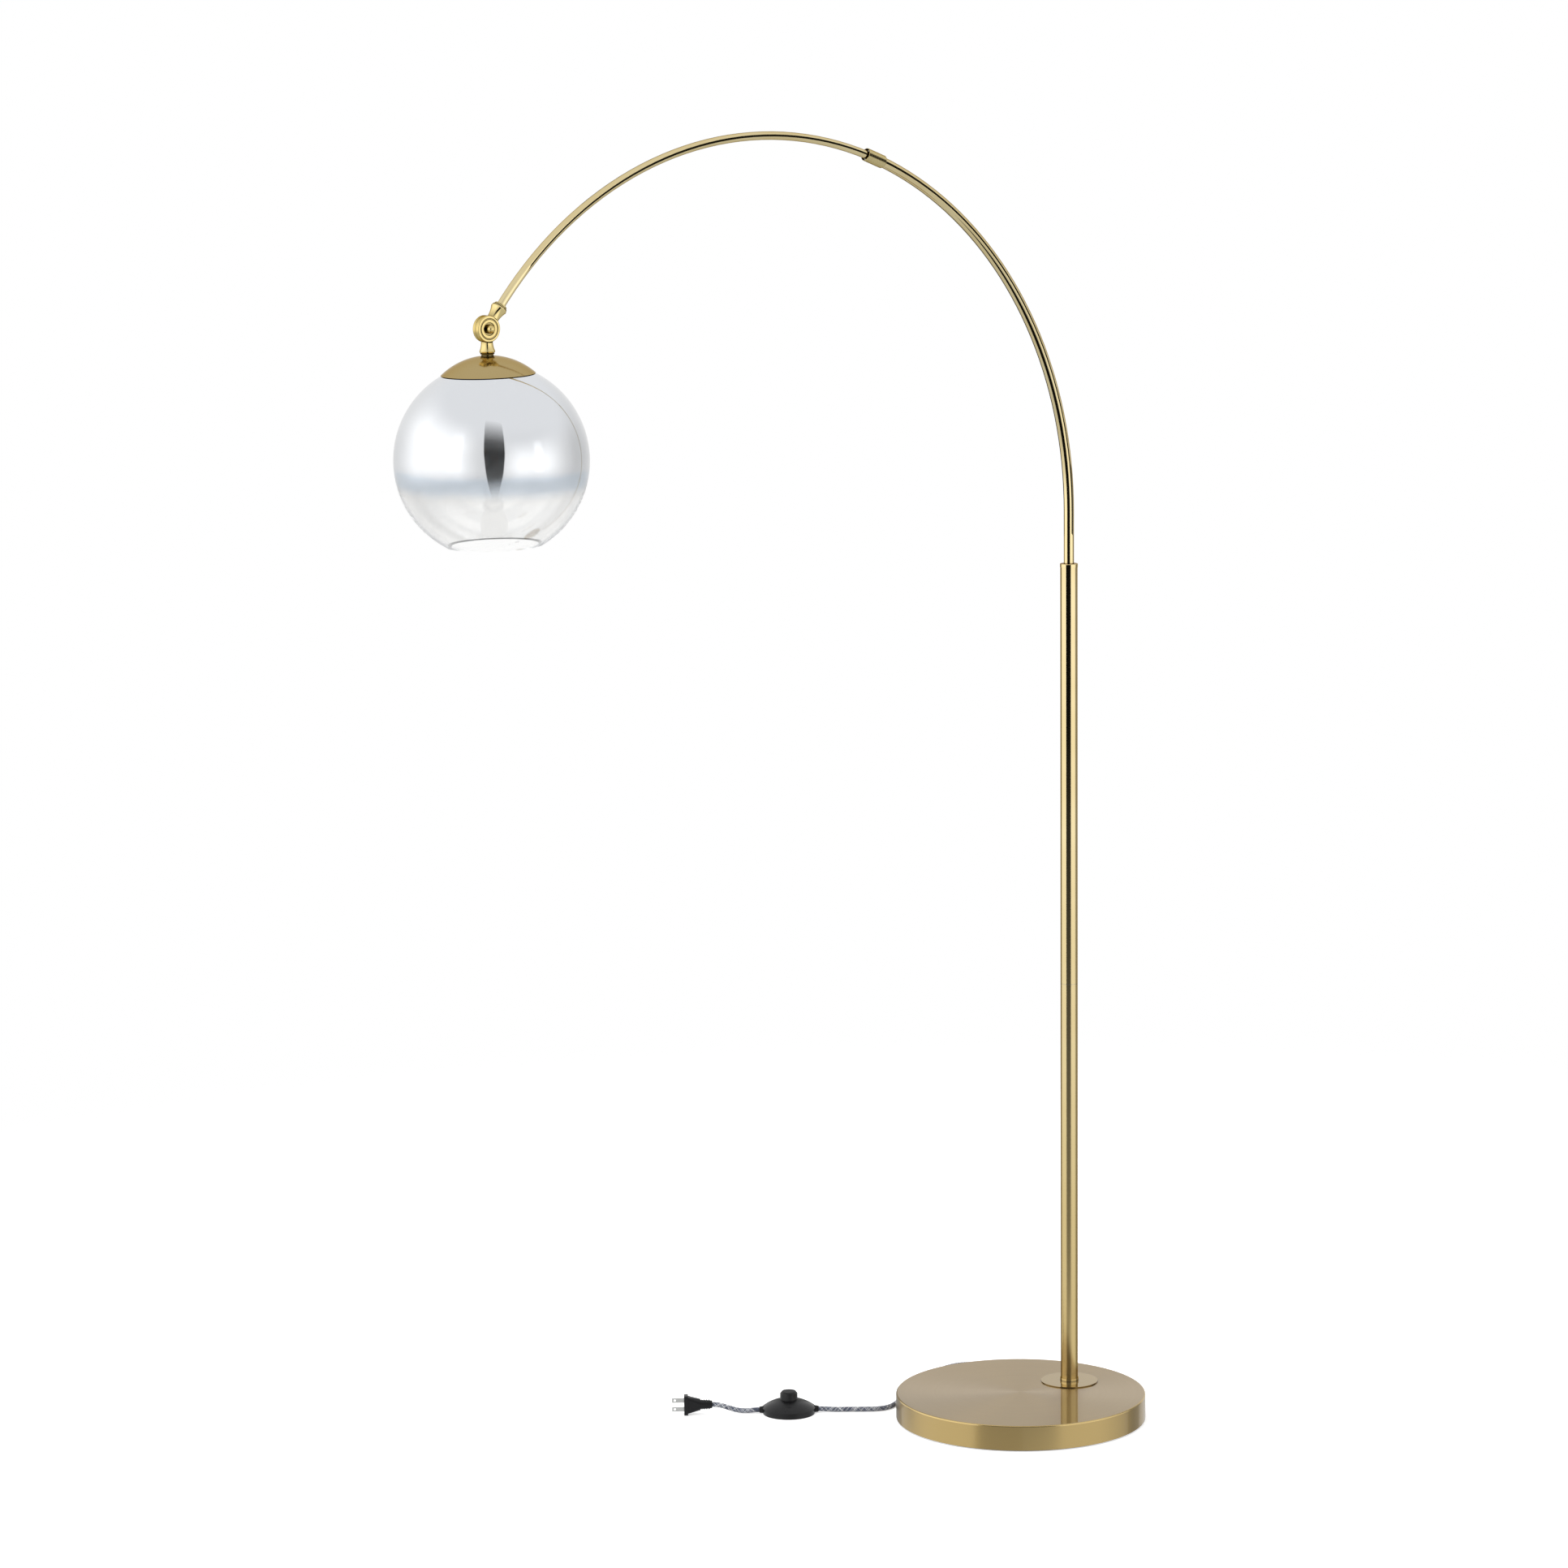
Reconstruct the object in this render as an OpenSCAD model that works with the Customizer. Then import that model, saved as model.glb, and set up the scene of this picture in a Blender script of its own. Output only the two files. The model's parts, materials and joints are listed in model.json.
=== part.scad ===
// Arc floor lamp: a round weighted base, a two-piece pole, a telescoping half-round arm, a tilting
// knuckle and an open glass globe, with a mains cord, a foot switch and a two-pin plug.
// Origin: centre of the base on the floor. +Z is up, and the arm reaches out along -X.

/* [Overall size] */
// Height from the floor to the top of the arm
lamp_h = 1803; // [1780:1:1820]
// Width from the outside of the globe to the far side of the base
lamp_w = 1168.4; // [1150:0.1:1180]

/* [Base] */
// Outside diameter of the round base
base_d = 349.2; // [344:0.2:354]
// Height of the base from the floor to its brass top
base_h = 36; // [35:0.5:40]
// Thickness of the spun brass of the base cover
base_sheet = 1.5; // [1:0.1:1.5]
// Radius of the rounded top edge of the base cover
base_edge_r = 2.2; // [1.6:0.1:3]
// Thickness of the cast-iron weight
weight_t = 18; // [16:0.5:19]
// Thickness of the steel bottom plate
plate_t = 1.5; // [1:0.1:1.6]
// Thickness of the felt under the base
felt_t = 2; // [1.8:0.1:2.2]
// Distance from the base's centre to the pole's axis
pole_offset = 90; // [86:1:94]

/* [Pole] */
// Outside diameter of the pole
pole_d = 24; // [24:0.1:25]
// Wall of the pole's tube
pole_wall = 1.2; // [1:0.1:1.2]
// Height of the seam between the pole's two lengths
seam_z = 608; // [590:1:620]
// Diameter of the round plate at the pole's foot
flange_d = 80; // [74:1:84]

/* [Arm] */
// Length of the arm's straight leg above the pole
arm_leg = 77.4; // [70:0.1:90]
// Outside diameter of the arm's thicker tube
tube_d = 14; // [13.8:0.1:14]
// Outside diameter of the arm's thinner, sliding tube
tip_d = 11; // [10.8:0.1:11]
// Wall of both arm tubes
arm_wall = 1; // [0.8:0.1:1]
// Where the arm ends, as an angle around its bend from the pole's side
arm_end = 141.5; // [140:0.5:143]
// Middle of the collar, as an angle around the bend
collar_at = 69; // [66:0.5:71]
// Outside diameter of the collar
collar_d = 17.5; // [17:0.1:18.5]
// Length of the collar
collar_l = 31; // [29:0.5:34]
// Length of thin tube inside the thick one, as an angle around the bend
tip_overlap = 21; // [20:0.5:24]

/* [Knuckle] */
// Diameter of the knuckle's two discs
knuckle_d = 34; // [33:0.5:35]
// Thickness over both discs
knuckle_t = 13; // [12.5:0.1:13.5]
// Distance from the end of the arm's socket to the knuckle's axis
knuckle_reach = 36.5; // [36:0.5:38]
// Distance from the knuckle's axis down to the cap
knuckle_drop = 33.5; // [33:0.5:35]
// Tilt of the head at rest, the globe leaning towards the pole
head_rest = 1.5; // [0:0.5:3]

/* [Shade] */
// Outside diameter of the glass globe
globe_d = 248; // [246:1:250]
// Thickness of the globe's glass
glass_t = 2.5; // [2.2:0.1:2.8]
// Diameter of the globe's open mouth
mouth_d = 122; // [116:1:126]
// Diameter of the brass cap on the globe
cap_d = 120; // [116:1:122]
// Height of the cap's dome
cap_h = 23.5; // [22:0.5:25]
// Thickness of the cap's brass
cap_sheet = 1.2; // [1:0.1:1.3]
// Diameter of the light bulb
bulb_d = 60; // [56:1:62]
// Lowest point of the bulb, below the globe's centre
bulb_low = 25; // [22:1:28]

/* [Foot switch and plug] */
// Diameter of the foot switch
switch_d = 75; // [73:1:76]
// Height of the foot switch without its button
switch_h = 21; // [20:0.5:22]
// Diameter of the switch's button
button_d = 24.6; // [24:0.1:25]
// How far the button goes down
button_travel = 3.5; // [2.5:0.1:3.6]
// Distance between the plug's two blades
blade_gap = 12.7; // [12.6:0.1:12.8]
// Diameter of the braided mains cord
cord_d = 7; // [6.9:0.1:7.1]

/* [Fits] */
// Radial clearance of every turning or sliding fit
running_fit = 0.05; // [0.03:0.01:0.08]
// Radial clearance of pieces that only slip together
slip_fit = 0.2; // [0.15:0.05:0.3]

/* [Hidden] */
$fn = 64;

brass = "#c9a74e";
satin_brass = "#b59a62";
steel = "#b8bcc0";
black = "#1c1c1e";
nylon = "#e8e4d8";

// Base
base_r = base_d / 2;
cover_low = 1.5;                                  // the cover's lower edge, clear of the floor
plate_top = felt_t + plate_t;
weight_top = base_h - base_sheet;
weight_low = weight_top - weight_t;
weight_r = base_r - base_sheet - 0.5;
felt_r = base_r - 4;
boss_circle_r = 120;                              // the bottom screws' distance from the centre
boss_turns = [90, 210, 330];
boss_r = 9;
screw_r = 2.4;
screw_head_r = 4.5;
screw_deep = 9;                                   // how far the bottom screws reach into their bosses
nut_recess_r = 24;
nut_recess_top = weight_top - 7.5;
washer_t = 1.6;
nut_h = 6.5;

// Pole foot and its clamping nipple
nipple_r = 4.85;
nipple_bore_r = 3.4;
nipple_low = nut_recess_top - washer_t - nut_h - 3.4;
flange_t = 1.5;
foot_ring_h = 4;
foot_low = base_h + flange_t;
pole_low = foot_low + foot_ring_h;
pole_r = pole_d / 2;
pole_bore_r = pole_r - pole_wall;
foot_plug_top = foot_low + 32;
nipple_top = foot_plug_top - 8;
seam_gap = 0.4;
coupler_half = 30;

// Arm bend: its radius follows from the lamp's width
globe_r = globe_d / 2;
glass_rim_z = sqrt(pow(globe_r, 2) - pow(cap_d / 2 - 1.4, 2));
cap_low = glass_rim_z + 0.15;                     // heights on the head are above the globe's centre
cap_top = cap_low + cap_h;
shade_drop = knuckle_drop + cap_top;
shade_reach = lamp_w - base_r - globe_r + pole_offset;
knuckle_out = shade_reach + shade_drop * sin(head_rest);
function to_hundredths(v) = round(100 * v) / 100;
arm_r = to_hundredths((knuckle_out - knuckle_reach * sin(arm_end)) / (1 - cos(arm_end)));
tube_r = tube_d / 2;
tube_bore_r = tube_r - arm_wall;
tip_r = tip_d / 2;
tip_bore_r = tip_r - arm_wall;
spring_z = lamp_h - arm_r - tip_r;                // where the straight leg turns into the bend
pole_top = spring_z - arm_leg;
bend_x = pole_offset - arm_r;
knuckle_x = bend_x + arm_r * cos(arm_end) - knuckle_reach * sin(arm_end);
knuckle_z = spring_z + arm_r * sin(arm_end) + knuckle_reach * cos(arm_end);
function mm_as_turn(mm) = mm / arm_r * 180 / PI;
collar_half = collar_l / 2;
collar_fit = 0.02;                                // the soldered collar's radial gap on its tube
cup_deep = 3.5;
collar_bushing_l = 5;
bushing_top = collar_at + mm_as_turn(collar_half - cup_deep);
tube_end = bushing_top - mm_as_turn(collar_bushing_l);
tip_start = tube_end - tip_overlap;
socket_deep = 8;
tip_end = arm_end + mm_as_turn(socket_deep);
guide_turn = mm_as_turn(18);

// Pole top bushing and the arm's foot in it
bushing_flange_h = 5;
bushing_deep = 44;
bushing_floor_t = 4;
arm_foot_z = pole_top - bushing_deep + bushing_floor_t;
stop_lug_half = 8;                                // half the stop lug's width, in degrees
stop_lug_h = 4;
swing_half = 91;                                  // how far the notch lets the arm swing each way

// Knuckle
knuckle_r = knuckle_d / 2;
half_gap = 0.3;                                   // half the friction washer's thickness
pivot_r = 3;
pivot_head_r = 5.5;
pivot_head_h = 3;                                 // the straight part of the screw's head, under its dome
neck_r = 7.4;
edge_r = 1.5;                                     // rounding of the discs' rims
dish_r = knuckle_r - 8.5;                         // the sunk middle of a disc's face
dish_deep = 1;
groove_r = 1.2;
groove_at = knuckle_r - 4.3;

// Globe, cap and socket, with heights above the globe's centre
cap_r = cap_d / 2;
cap_sphere_r = (pow(cap_r, 2) + pow(cap_h, 2)) / (2 * cap_h);
cap_centre_z = cap_top - cap_sphere_r;
mouth_z = -sqrt(pow(globe_r, 2) - pow(mouth_d / 2, 2));
glass_hole_r = 21;
holder_low = cap_top - 8.9;
holder_t = 1.5;
socket_cap_r = 19.5;
socket_r = 17.4;
socket_cap_h = 20;
socket_l = 70;
socket_low = holder_low - socket_l;
bulb_r = bulb_d / 2;
bulb_mid = bulb_r - bulb_low;
bulb_neck_r = 14;
bulb_neck_z = socket_low + 4;
bulb_tip_z = bulb_neck_z + 25.5;
bulb_wall = 0.8;
filament_l = 34;
shell_r = 13;

// Internal lead
lead_r = 2.2;
lead_bend_r = 9;
gland_z = 10;
retract_turn = 20;                                // how far the thin tube slides in, as an angle

// The cord lies in the lamp's rear and left, along lines turned from the arm's plane
lie_turn = 36;
gland_turn = 58;                                  // the gland's place round the base, before lie_turn
relief_l = 26;
cord_r = cord_d / 2;
gland_out = base_r + relief_l;
hank_run = 102;                                   // length of the hank's straight runs
hank_gap = 2.4;                                   // room between the base and the hank
hank_in_r = 18;
hank_rise_u = 6;                                  // where the last turn widens on the near side
hank_leave_u = -44;                               // where the cord leaves the hank on the far side
hank_v = base_r + hank_gap + hank_in_r + 2 * cord_d;
hank_low = 1;
switch_u = -324;
switch_v = 40;
switch_r = switch_d / 2;
grommet_out = switch_r + 4;
grommet_z = 5.2;
plug_u = -432;
plug_z = 14;

// Cord routes as [along, behind, up], chosen by hand
exit_point = [gland_out * cos(gland_turn), gland_out * sin(gland_turn), gland_z];
base_route = [exit_point, [111, 178, 9.7], [115.5, 189, 8.8], [116, 201, 7.7], [113, 212.5, 6.6],
  [106.5, 222.5, 5.6], [97, 230.5, 4.9], [85, 235.7, 4.5], [72, 237.5, 4.5], [58, 237.5, 4.5]];
switch_route = [[hank_leave_u, 237.5, 11.5], [-58, 237.5, 11.5], [-71.5, 235.5, 11.3], [-84, 230.5, 10.6],
  [-95.5, 223.5, 9.2], [-105.5, 213, 7.2], [-114.5, 200.5, 5.4], [-122.5, 187, 4.2], [-130, 173, 3.6],
  [-137, 158.5, 3.5], [-144, 143, 3.5], [-150.5, 127, 3.5], [-156.5, 111, 3.5], [-162, 95, 3.5],
  [-167, 79, 3.5], [-172, 66, 3.5], [-177, 56, 3.5], [-183.5, 48, 3.5], [-191.5, 42.5, 3.5],
  [-202, 40, 3.5], [-216, 39.5, 3.5], [-231, 40, 3.5], [-246, 40.5, 3.5], [-260, 40.5, 3.7],
  [-272, 40, 4.6], [switch_u + grommet_out, switch_v, grommet_z]];
plug_route = [[switch_u - grommet_out, switch_v, grommet_z], [-373, 40, 4.7], [-383, 40, 4.2],
  [-393, 40, 4.6], [-402, 40, 6.6], [-411, 40, 9.6], [-421, 40, 12.6], [plug_u, 40, plug_z]];

// ---------- places ----------

module at_pole() {
  translate([pole_offset, 0, 0]) children();
}

module at_bosses() {
  for (turn = boss_turns) rotate([0, 0, turn]) translate([boss_circle_r, 0, 0]) children();
}

// On the base's wall, with +Z pointing out of it
module at_gland() {
  rotate([0, 0, gland_turn - lie_turn]) translate([base_r, 0, gland_z]) rotate([0, 90, 0]) children();
}

// On the bend, with +Z along the arm towards its tip and +X away from the bend's centre
module at_bend(turn) {
  translate([bend_x + arm_r * cos(turn), 0, spring_z + arm_r * sin(turn)]) rotate([0, -turn, 0]) children();
}

// At the knuckle's axis, with +Z back up the arm
module at_knuckle_arm() {
  translate([knuckle_x, 0, knuckle_z]) rotate([0, 180 - arm_end, 0]) children();
}

module at_head() {
  translate([knuckle_x, 0, knuckle_z]) rotate([0, -head_rest, 0]) children();
}

module at_globe() {
  at_head() translate([0, 0, -shade_drop]) children();
}

module at_lie() {
  rotate([0, 0, -lie_turn]) children();
}

module at_switch() {
  at_lie() translate([switch_u, switch_v, 0]) children();
}

// At the plug's cord end, with +Z towards its blades and +X up
module at_plug() {
  at_lie() translate([plug_u, switch_v, plug_z]) rotate([0, -90, 0]) children();
}

// ---------- shapes ----------

module ring(r_out, r_in, h) {
  difference() {
    cylinder(r = r_out, h = h);
    translate([0, 0, -1]) cylinder(r = r_in, h = h + 2);
  }
}

module ring_between(r_out, r_in, low, high) {
  translate([0, 0, low]) ring(r_out, r_in, high - low);
}

module rod_between(r, low, high) {
  translate([0, 0, low]) cylinder(r = r, h = high - low);
}

// A tube bent round the arm's centre
module bent_tube(r_out, r_in, from, to) {
  translate([bend_x, 0, spring_z]) rotate([90, 0, 0]) rotate([0, 0, from])
    rotate_extrude(angle = to - from, $fn = 360) translate([arm_r, 0]) difference() {
      circle(r = r_out);
      circle(r = r_in);
    }
}

// A rod bent round the arm's centre, set off its middle line by outward
module bent_rod(r, from, to, outward = 0) {
  translate([bend_x, 0, spring_z]) rotate([90, 0, 0]) rotate([0, 0, from])
    rotate_extrude(angle = to - from, $fn = 360) translate([arm_r + outward, 0]) circle(r = r);
}

// Half outline of a drum with a rounded upper edge
module drum_outline(r, low, high, edge) {
  translate([0, low]) square([r - edge, high - low]);
  translate([0, low]) square([r, high - low - edge]);
  translate([r - edge, high - edge]) intersection() {
    circle(r = edge);
    square([edge, edge]);
  }
}

// A straight bar with round ends, seen from above
module stadium(run, r) {
  square([run, 2 * r], center = true);
  for (side = [-1, 1]) translate([side * run / 2, 0]) circle(r = r);
}

module rounded_plate(size_x, size_y, corner) {
  square([size_x - 2 * corner, size_y], center = true);
  square([size_x, size_y - 2 * corner], center = true);
  for (sx = [-1, 1], sy = [-1, 1])
    translate([sx * (size_x / 2 - corner), sy * (size_y / 2 - corner)]) circle(r = corner);
}

// Rings of points swept along a route, for a flexible round cord
function unit(v) = v / norm(v);
function heading(route, i) = unit(route[min(i + 1, len(route) - 1)] - route[max(i - 1, 0)]);
function sideways(dir) = unit(cross(dir, [0, 0, 1]));
function sweep_ring(p, dir, r, sides) = [for (k = [0 : sides - 1])
  p + r * (cos(360 * k / sides) * sideways(dir) + sin(360 * k / sides) * cross(sideways(dir), dir))];

module swept_cord(route, r, sides) {
  last = len(route) - 1;
  points = [for (i = [0 : last]) each sweep_ring(route[i], heading(route, i), r, sides)];
  walls = [for (i = [0 : last - 1], k = [0 : sides - 1]) let (m = (k + 1) % sides)
    [i * sides + k, (i + 1) * sides + k, (i + 1) * sides + m, i * sides + m]];
  near_cap = [for (k = [0 : sides - 1]) k];
  far_cap = [for (k = [sides - 1 : -1 : 0]) last * sides + k];
  polyhedron(points, concat(walls, [near_cap, far_cap]));
}

// ---------- base ----------

module bottom_felt() {
  color("#2a2a2c") difference() {
    cylinder(r = felt_r, h = felt_t, $fn = 128);
    at_bosses() rod_between(screw_head_r + 1.5, -1, felt_t + 1);
  }
}

module bottom_plate() {
  color(steel) difference() {
    translate([0, 0, felt_t]) cylinder(r = weight_r, h = plate_t, $fn = 128);
    at_bosses() rod_between(screw_r + 2 * slip_fit, 0, base_h);
  }
}

module bottom_screws() {
  color(steel) at_bosses() {
    rod_between(screw_head_r, 0.5, felt_t);
    rod_between(screw_r, felt_t, plate_top + screw_deep);
  }
}

module base_weight() {
  color("#3c3d40") difference() {
    union() {
      translate([0, 0, weight_low]) cylinder(r = weight_r, h = weight_t, $fn = 128);
      at_bosses() rod_between(boss_r, plate_top, weight_low + 1);
    }
    at_bosses() rod_between(screw_r + running_fit, plate_top - 1, plate_top + screw_deep + 1);
    at_pole() rod_between(nipple_r + slip_fit, 0, base_h);
    at_pole() rod_between(nut_recess_r, 0, nut_recess_top);
  }
}

module base_cover() {
  color(satin_brass) difference() {
    rotate_extrude($fn = 128) drum_outline(base_r, cover_low, base_h, base_edge_r);
    translate([0, 0, -1]) cylinder(r = base_r - base_sheet, h = weight_top + 1, $fn = 128);
    at_pole() rod_between(nipple_r + slip_fit, 0, base_h + 1);
    at_gland() rod_between(5.3, -8, 8);
  }
}

module cord_gland() {
  color(black) at_gland() {
    rod_between(6.4, -base_sheet - 2.5, -base_sheet - 0.2);
    rod_between(5.2, -base_sheet - 1, 1);
    rod_between(6.4, 0.4, 4);
    translate([0, 0, 4]) cylinder(r1 = 5.6, r2 = 4.4, h = relief_l - 4);
  }
}

// ---------- pole ----------

module pole_flange() {
  color(brass) at_pole() translate([0, 0, base_h]) ring(flange_d / 2, nipple_r + slip_fit, flange_t);
}

module pole_foot_ring() {
  color(brass) at_pole() translate([0, 0, foot_low]) ring(pole_r + 0.75, pole_bore_r, foot_ring_h);
}

module pole_foot_plug() {
  color(steel) at_pole()
    ring_between(pole_bore_r - running_fit, nipple_r + running_fit, foot_low, foot_plug_top);
}

module pole_nipple() {
  color(steel) at_pole() ring_between(nipple_r, nipple_bore_r, nipple_low, nipple_top);
}

module nipple_washer() {
  color(steel) at_pole()
    ring_between(16, nipple_r + slip_fit, nut_recess_top - washer_t, nut_recess_top);
}

module nipple_nut() {
  color(steel) at_pole() difference() {
    translate([0, 0, nut_recess_top - washer_t - nut_h]) cylinder(r = 9, h = nut_h, $fn = 6);
    rod_between(nipple_r + running_fit, 0, base_h);
  }
}

module pole_lower() {
  color(brass) at_pole() ring_between(pole_r, pole_bore_r, pole_low, seam_z - seam_gap / 2);
}

module pole_upper() {
  color(brass) at_pole() ring_between(pole_r, pole_bore_r, seam_z + seam_gap / 2, pole_top);
}

module pole_coupler() {
  color(steel) at_pole() difference() {
    union() {
      rod_between(pole_bore_r - running_fit, seam_z - coupler_half, seam_z + coupler_half);
      rod_between(pole_r - 0.3, seam_z - seam_gap / 2, seam_z + seam_gap / 2);
    }
    rod_between(7, seam_z - coupler_half - 1, seam_z + coupler_half + 1);
  }
}

module pole_top_bushing() {
  color(brass) at_pole() {
    difference() {
      union() {
        rod_between(pole_bore_r - running_fit, pole_top - bushing_deep, pole_top);
        rotate_extrude() drum_outline(pole_r + 0.3, pole_top, pole_top + bushing_flange_h, 0.8);
      }
      rod_between(tube_r + running_fit, arm_foot_z, pole_top + bushing_flange_h + 1);
      rod_between(4.5, pole_top - bushing_deep - 1, arm_foot_z + 1);
    }
    translate([0, 0, arm_foot_z]) rotate([0, 0, -stop_lug_half]) rotate_extrude(angle = 2 * stop_lug_half)
      translate([tube_bore_r + 0.05, 0]) square([arm_wall + 0.6, stop_lug_h]);
  }
}

// ---------- arm ----------

// The straight leg and the bend in one, as a solid rod
module arm_rod(r, low, end, outward = 0) {
  translate([pole_offset + outward, 0, 0]) rod_between(r, low, spring_z);
  bent_rod(r, 0, end, outward);
}

module arm_lower_tube() {
  color(brass) difference() {
    arm_rod(tube_r, arm_foot_z, tube_end);
    arm_rod(tube_bore_r, arm_foot_z - 1, tube_end + 0.1);
    at_pole() translate([0, 0, arm_foot_z - 1]) rotate([0, 0, -stop_lug_half - swing_half])
      rotate_extrude(angle = 2 * (stop_lug_half + swing_half))
        translate([tube_bore_r - 1, 0]) square([arm_wall + 2, stop_lug_h + 1.4]);
  }
}

module arm_collar() {
  color(brass) difference() {
    at_bend(collar_at) rotate_extrude() union() {
      drum_outline(collar_d / 2, 0, collar_half, 0.5);
      mirror([0, 1]) drum_outline(collar_d / 2, 0, collar_half, 1.2);
    }
    bent_rod(tube_r + collar_fit, collar_at - mm_as_turn(collar_l), bushing_top + mm_as_turn(cup_deep / 2));
    at_bend(collar_at) rod_between(tube_r + 0.7, collar_half - cup_deep, collar_half + 1);
  }
}

module collar_bushing() {
  color(nylon) bent_tube(tube_r, tip_r + running_fit, tube_end, bushing_top);
}

module arm_tip_tube() {
  color(brass) bent_tube(tip_r, tip_bore_r, tip_start, tip_end);
}

module tip_guide() {
  color(nylon) bent_tube(tube_bore_r - running_fit, tip_r, tip_start, tip_start + guide_turn);
}

// ---------- knuckle ----------

// Half outline of a turned socket: rings at its mouth, then a waist down to the neck
module socket_outline(mouth, flare_r) {
  waist = mouth - 6;
  curve = [for (i = [0 : 10]) let (t = i / 10)
    [neck_r + (flare_r - neck_r) * pow(1 - t, 2.2), waist - t * (waist - knuckle_r + 2)]];
  polygon(concat([[0, 0], [0, mouth], [flare_r - 2.6, mouth], [flare_r - 2.2, mouth - 0.6],
    [flare_r - 2.2, mouth - 1.4], [flare_r - 2.9, mouth - 1.8], [flare_r - 1.2, mouth - 2.4],
    [flare_r - 0.8, mouth - 3.2], [flare_r - 1.5, mouth - 3.8], [flare_r - 0.4, mouth - 4.4]],
    curve, [[neck_r, 0]]));
}

// One disc of the knuckle on the side that y_sign names, with a bead, a groove and a raised inner ring
module knuckle_disc(y_sign) {
  rotate([y_sign * -90, 0, 0]) rotate_extrude() difference() {
    drum_outline(knuckle_r, half_gap, knuckle_t / 2, edge_r);
    translate([groove_at, knuckle_t / 2]) circle(r = groove_r);
    translate([0, knuckle_t / 2 - dish_deep]) square([dish_r, 2]);
  }
}

// Room that a socket leaves for the other half's disc
module disc_room(y_sign) {
  rotate([y_sign * -90, 0, 0]) rod_between(knuckle_r + 0.5, -half_gap, knuckle_t);
}

module knuckle_upper() {
  color(brass) at_knuckle_arm() difference() {
    union() {
      knuckle_disc(-1);
      difference() {
        rotate_extrude() socket_outline(knuckle_reach, 10.6);
        disc_room(1);
        rotate([-90, 0, 0]) rod_between(knuckle_r - 1, -20, 20);
      }
    }
    rod_between(tip_r + 0.12, knuckle_reach - socket_deep - 0.2, knuckle_reach + 1);
    rod_between(lead_r + 0.6, knuckle_r + 1.5, knuckle_reach);
    rotate([-90, 0, 0]) rod_between(pivot_r, -20, 20);
  }
}

module friction_washer() {
  color(nylon) translate([knuckle_x, 0, knuckle_z]) rotate([-90, 0, 0])
    ring_between(13.5, pivot_r, -half_gap, half_gap);
}

module knuckle_lower() {
  color(brass) at_head() difference() {
    union() {
      knuckle_disc(1);
      difference() {
        rotate([180, 0, 0]) rotate_extrude() socket_outline(knuckle_drop + 0.6, 10);
        disc_room(-1);
        rotate([-90, 0, 0]) rod_between(knuckle_r - 1, -20, 20);
      }
    }
    rotate([-90, 0, 0]) rod_between(pivot_r, -20, 20);
    translate([0, 0, -shade_drop + cap_centre_z]) sphere(r = cap_sphere_r, $fn = 180);
    rod_between(nipple_r + running_fit, -knuckle_drop - 2, -knuckle_drop + 9);
    rod_between(lead_r + 0.6, -knuckle_drop, -knuckle_r - 1.5);
  }
}

// A domed head for the knuckle's screw and for its cap nut
module pivot_head(low) {
  rod_between(pivot_head_r, low, knuckle_t / 2 + pivot_head_h);
  translate([0, 0, knuckle_t / 2 + pivot_head_h]) intersection() {
    sphere(r = pivot_head_r);
    cylinder(r = pivot_head_r + 1, h = pivot_head_r + 1);
  }
}

module knuckle_screw() {
  color(brass) translate([knuckle_x, 0, knuckle_z]) rotate([90, 0, 0]) {
    rod_between(pivot_r - running_fit, -knuckle_t / 2 - 5, knuckle_t / 2);
    pivot_head(knuckle_t / 2 - dish_deep);
  }
}

module knuckle_nut() {
  color(brass) translate([knuckle_x, 0, knuckle_z]) rotate([-90, 0, 0]) difference() {
    union() {
      pivot_head(knuckle_t / 2 - dish_deep + 0.3);
    }
    rod_between(pivot_r, 0, knuckle_t / 2 + 5);
  }
}

// ---------- shade ----------

module shade_cap() {
  color(satin_brass) at_globe() difference() {
    intersection() {
      translate([0, 0, cap_centre_z]) sphere(r = cap_sphere_r, $fn = 180);
      rod_between(cap_r + 1, cap_low, cap_top + 1);
    }
    translate([0, 0, cap_centre_z]) sphere(r = cap_sphere_r - cap_sheet, $fn = 180);
    rod_between(nipple_r + slip_fit, 0, cap_top + 1);
  }
}

module cap_nipple() {
  color(steel) at_globe() ring_between(nipple_r, nipple_bore_r, holder_low - 4, cap_top + 8);
}

module cap_nut() {
  color(steel) at_globe() difference() {
    translate([0, 0, holder_low + holder_t]) cylinder(r = 8, h = 5, $fn = 6);
    rod_between(nipple_r + running_fit, 0, cap_top);
  }
}

module shade_holder() {
  color(steel) at_globe() translate([0, 0, holder_low]) ring(29, nipple_r + slip_fit, holder_t);
}

module shade_gasket() {
  color(black) at_globe() difference() {
    ring_between(28, glass_hole_r + 0.5, holder_low - 6, holder_low);
    sphere(r = globe_r + 0.02, $fn = 180);
  }
}

module shade_ring() {
  color(black) at_globe() intersection() {
    ring_between(27, socket_cap_r + slip_fit, holder_low - 11, holder_low - 3);
    sphere(r = globe_r - glass_t - 0.02, $fn = 180);
  }
}

module shade_glass() {
  color("#dfe6ee", 0.35) at_globe() difference() {
    sphere(r = globe_r, $fn = 180);
    sphere(r = globe_r - glass_t, $fn = 180);
    rod_between(glass_hole_r, 0, globe_r + 1);
    translate([0, 0, -globe_r - 1]) cylinder(r = globe_r, h = globe_r + 1 + mouth_z);
  }
}

module socket_cap() {
  color(black) at_globe() difference() {
    rod_between(socket_cap_r, holder_low - socket_cap_h, holder_low);
    rod_between(socket_r + 0.1, holder_low - socket_cap_h - 1, holder_low - 4.5);
    rod_between(nipple_r + running_fit, 0, holder_low + 1);
  }
}

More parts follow.
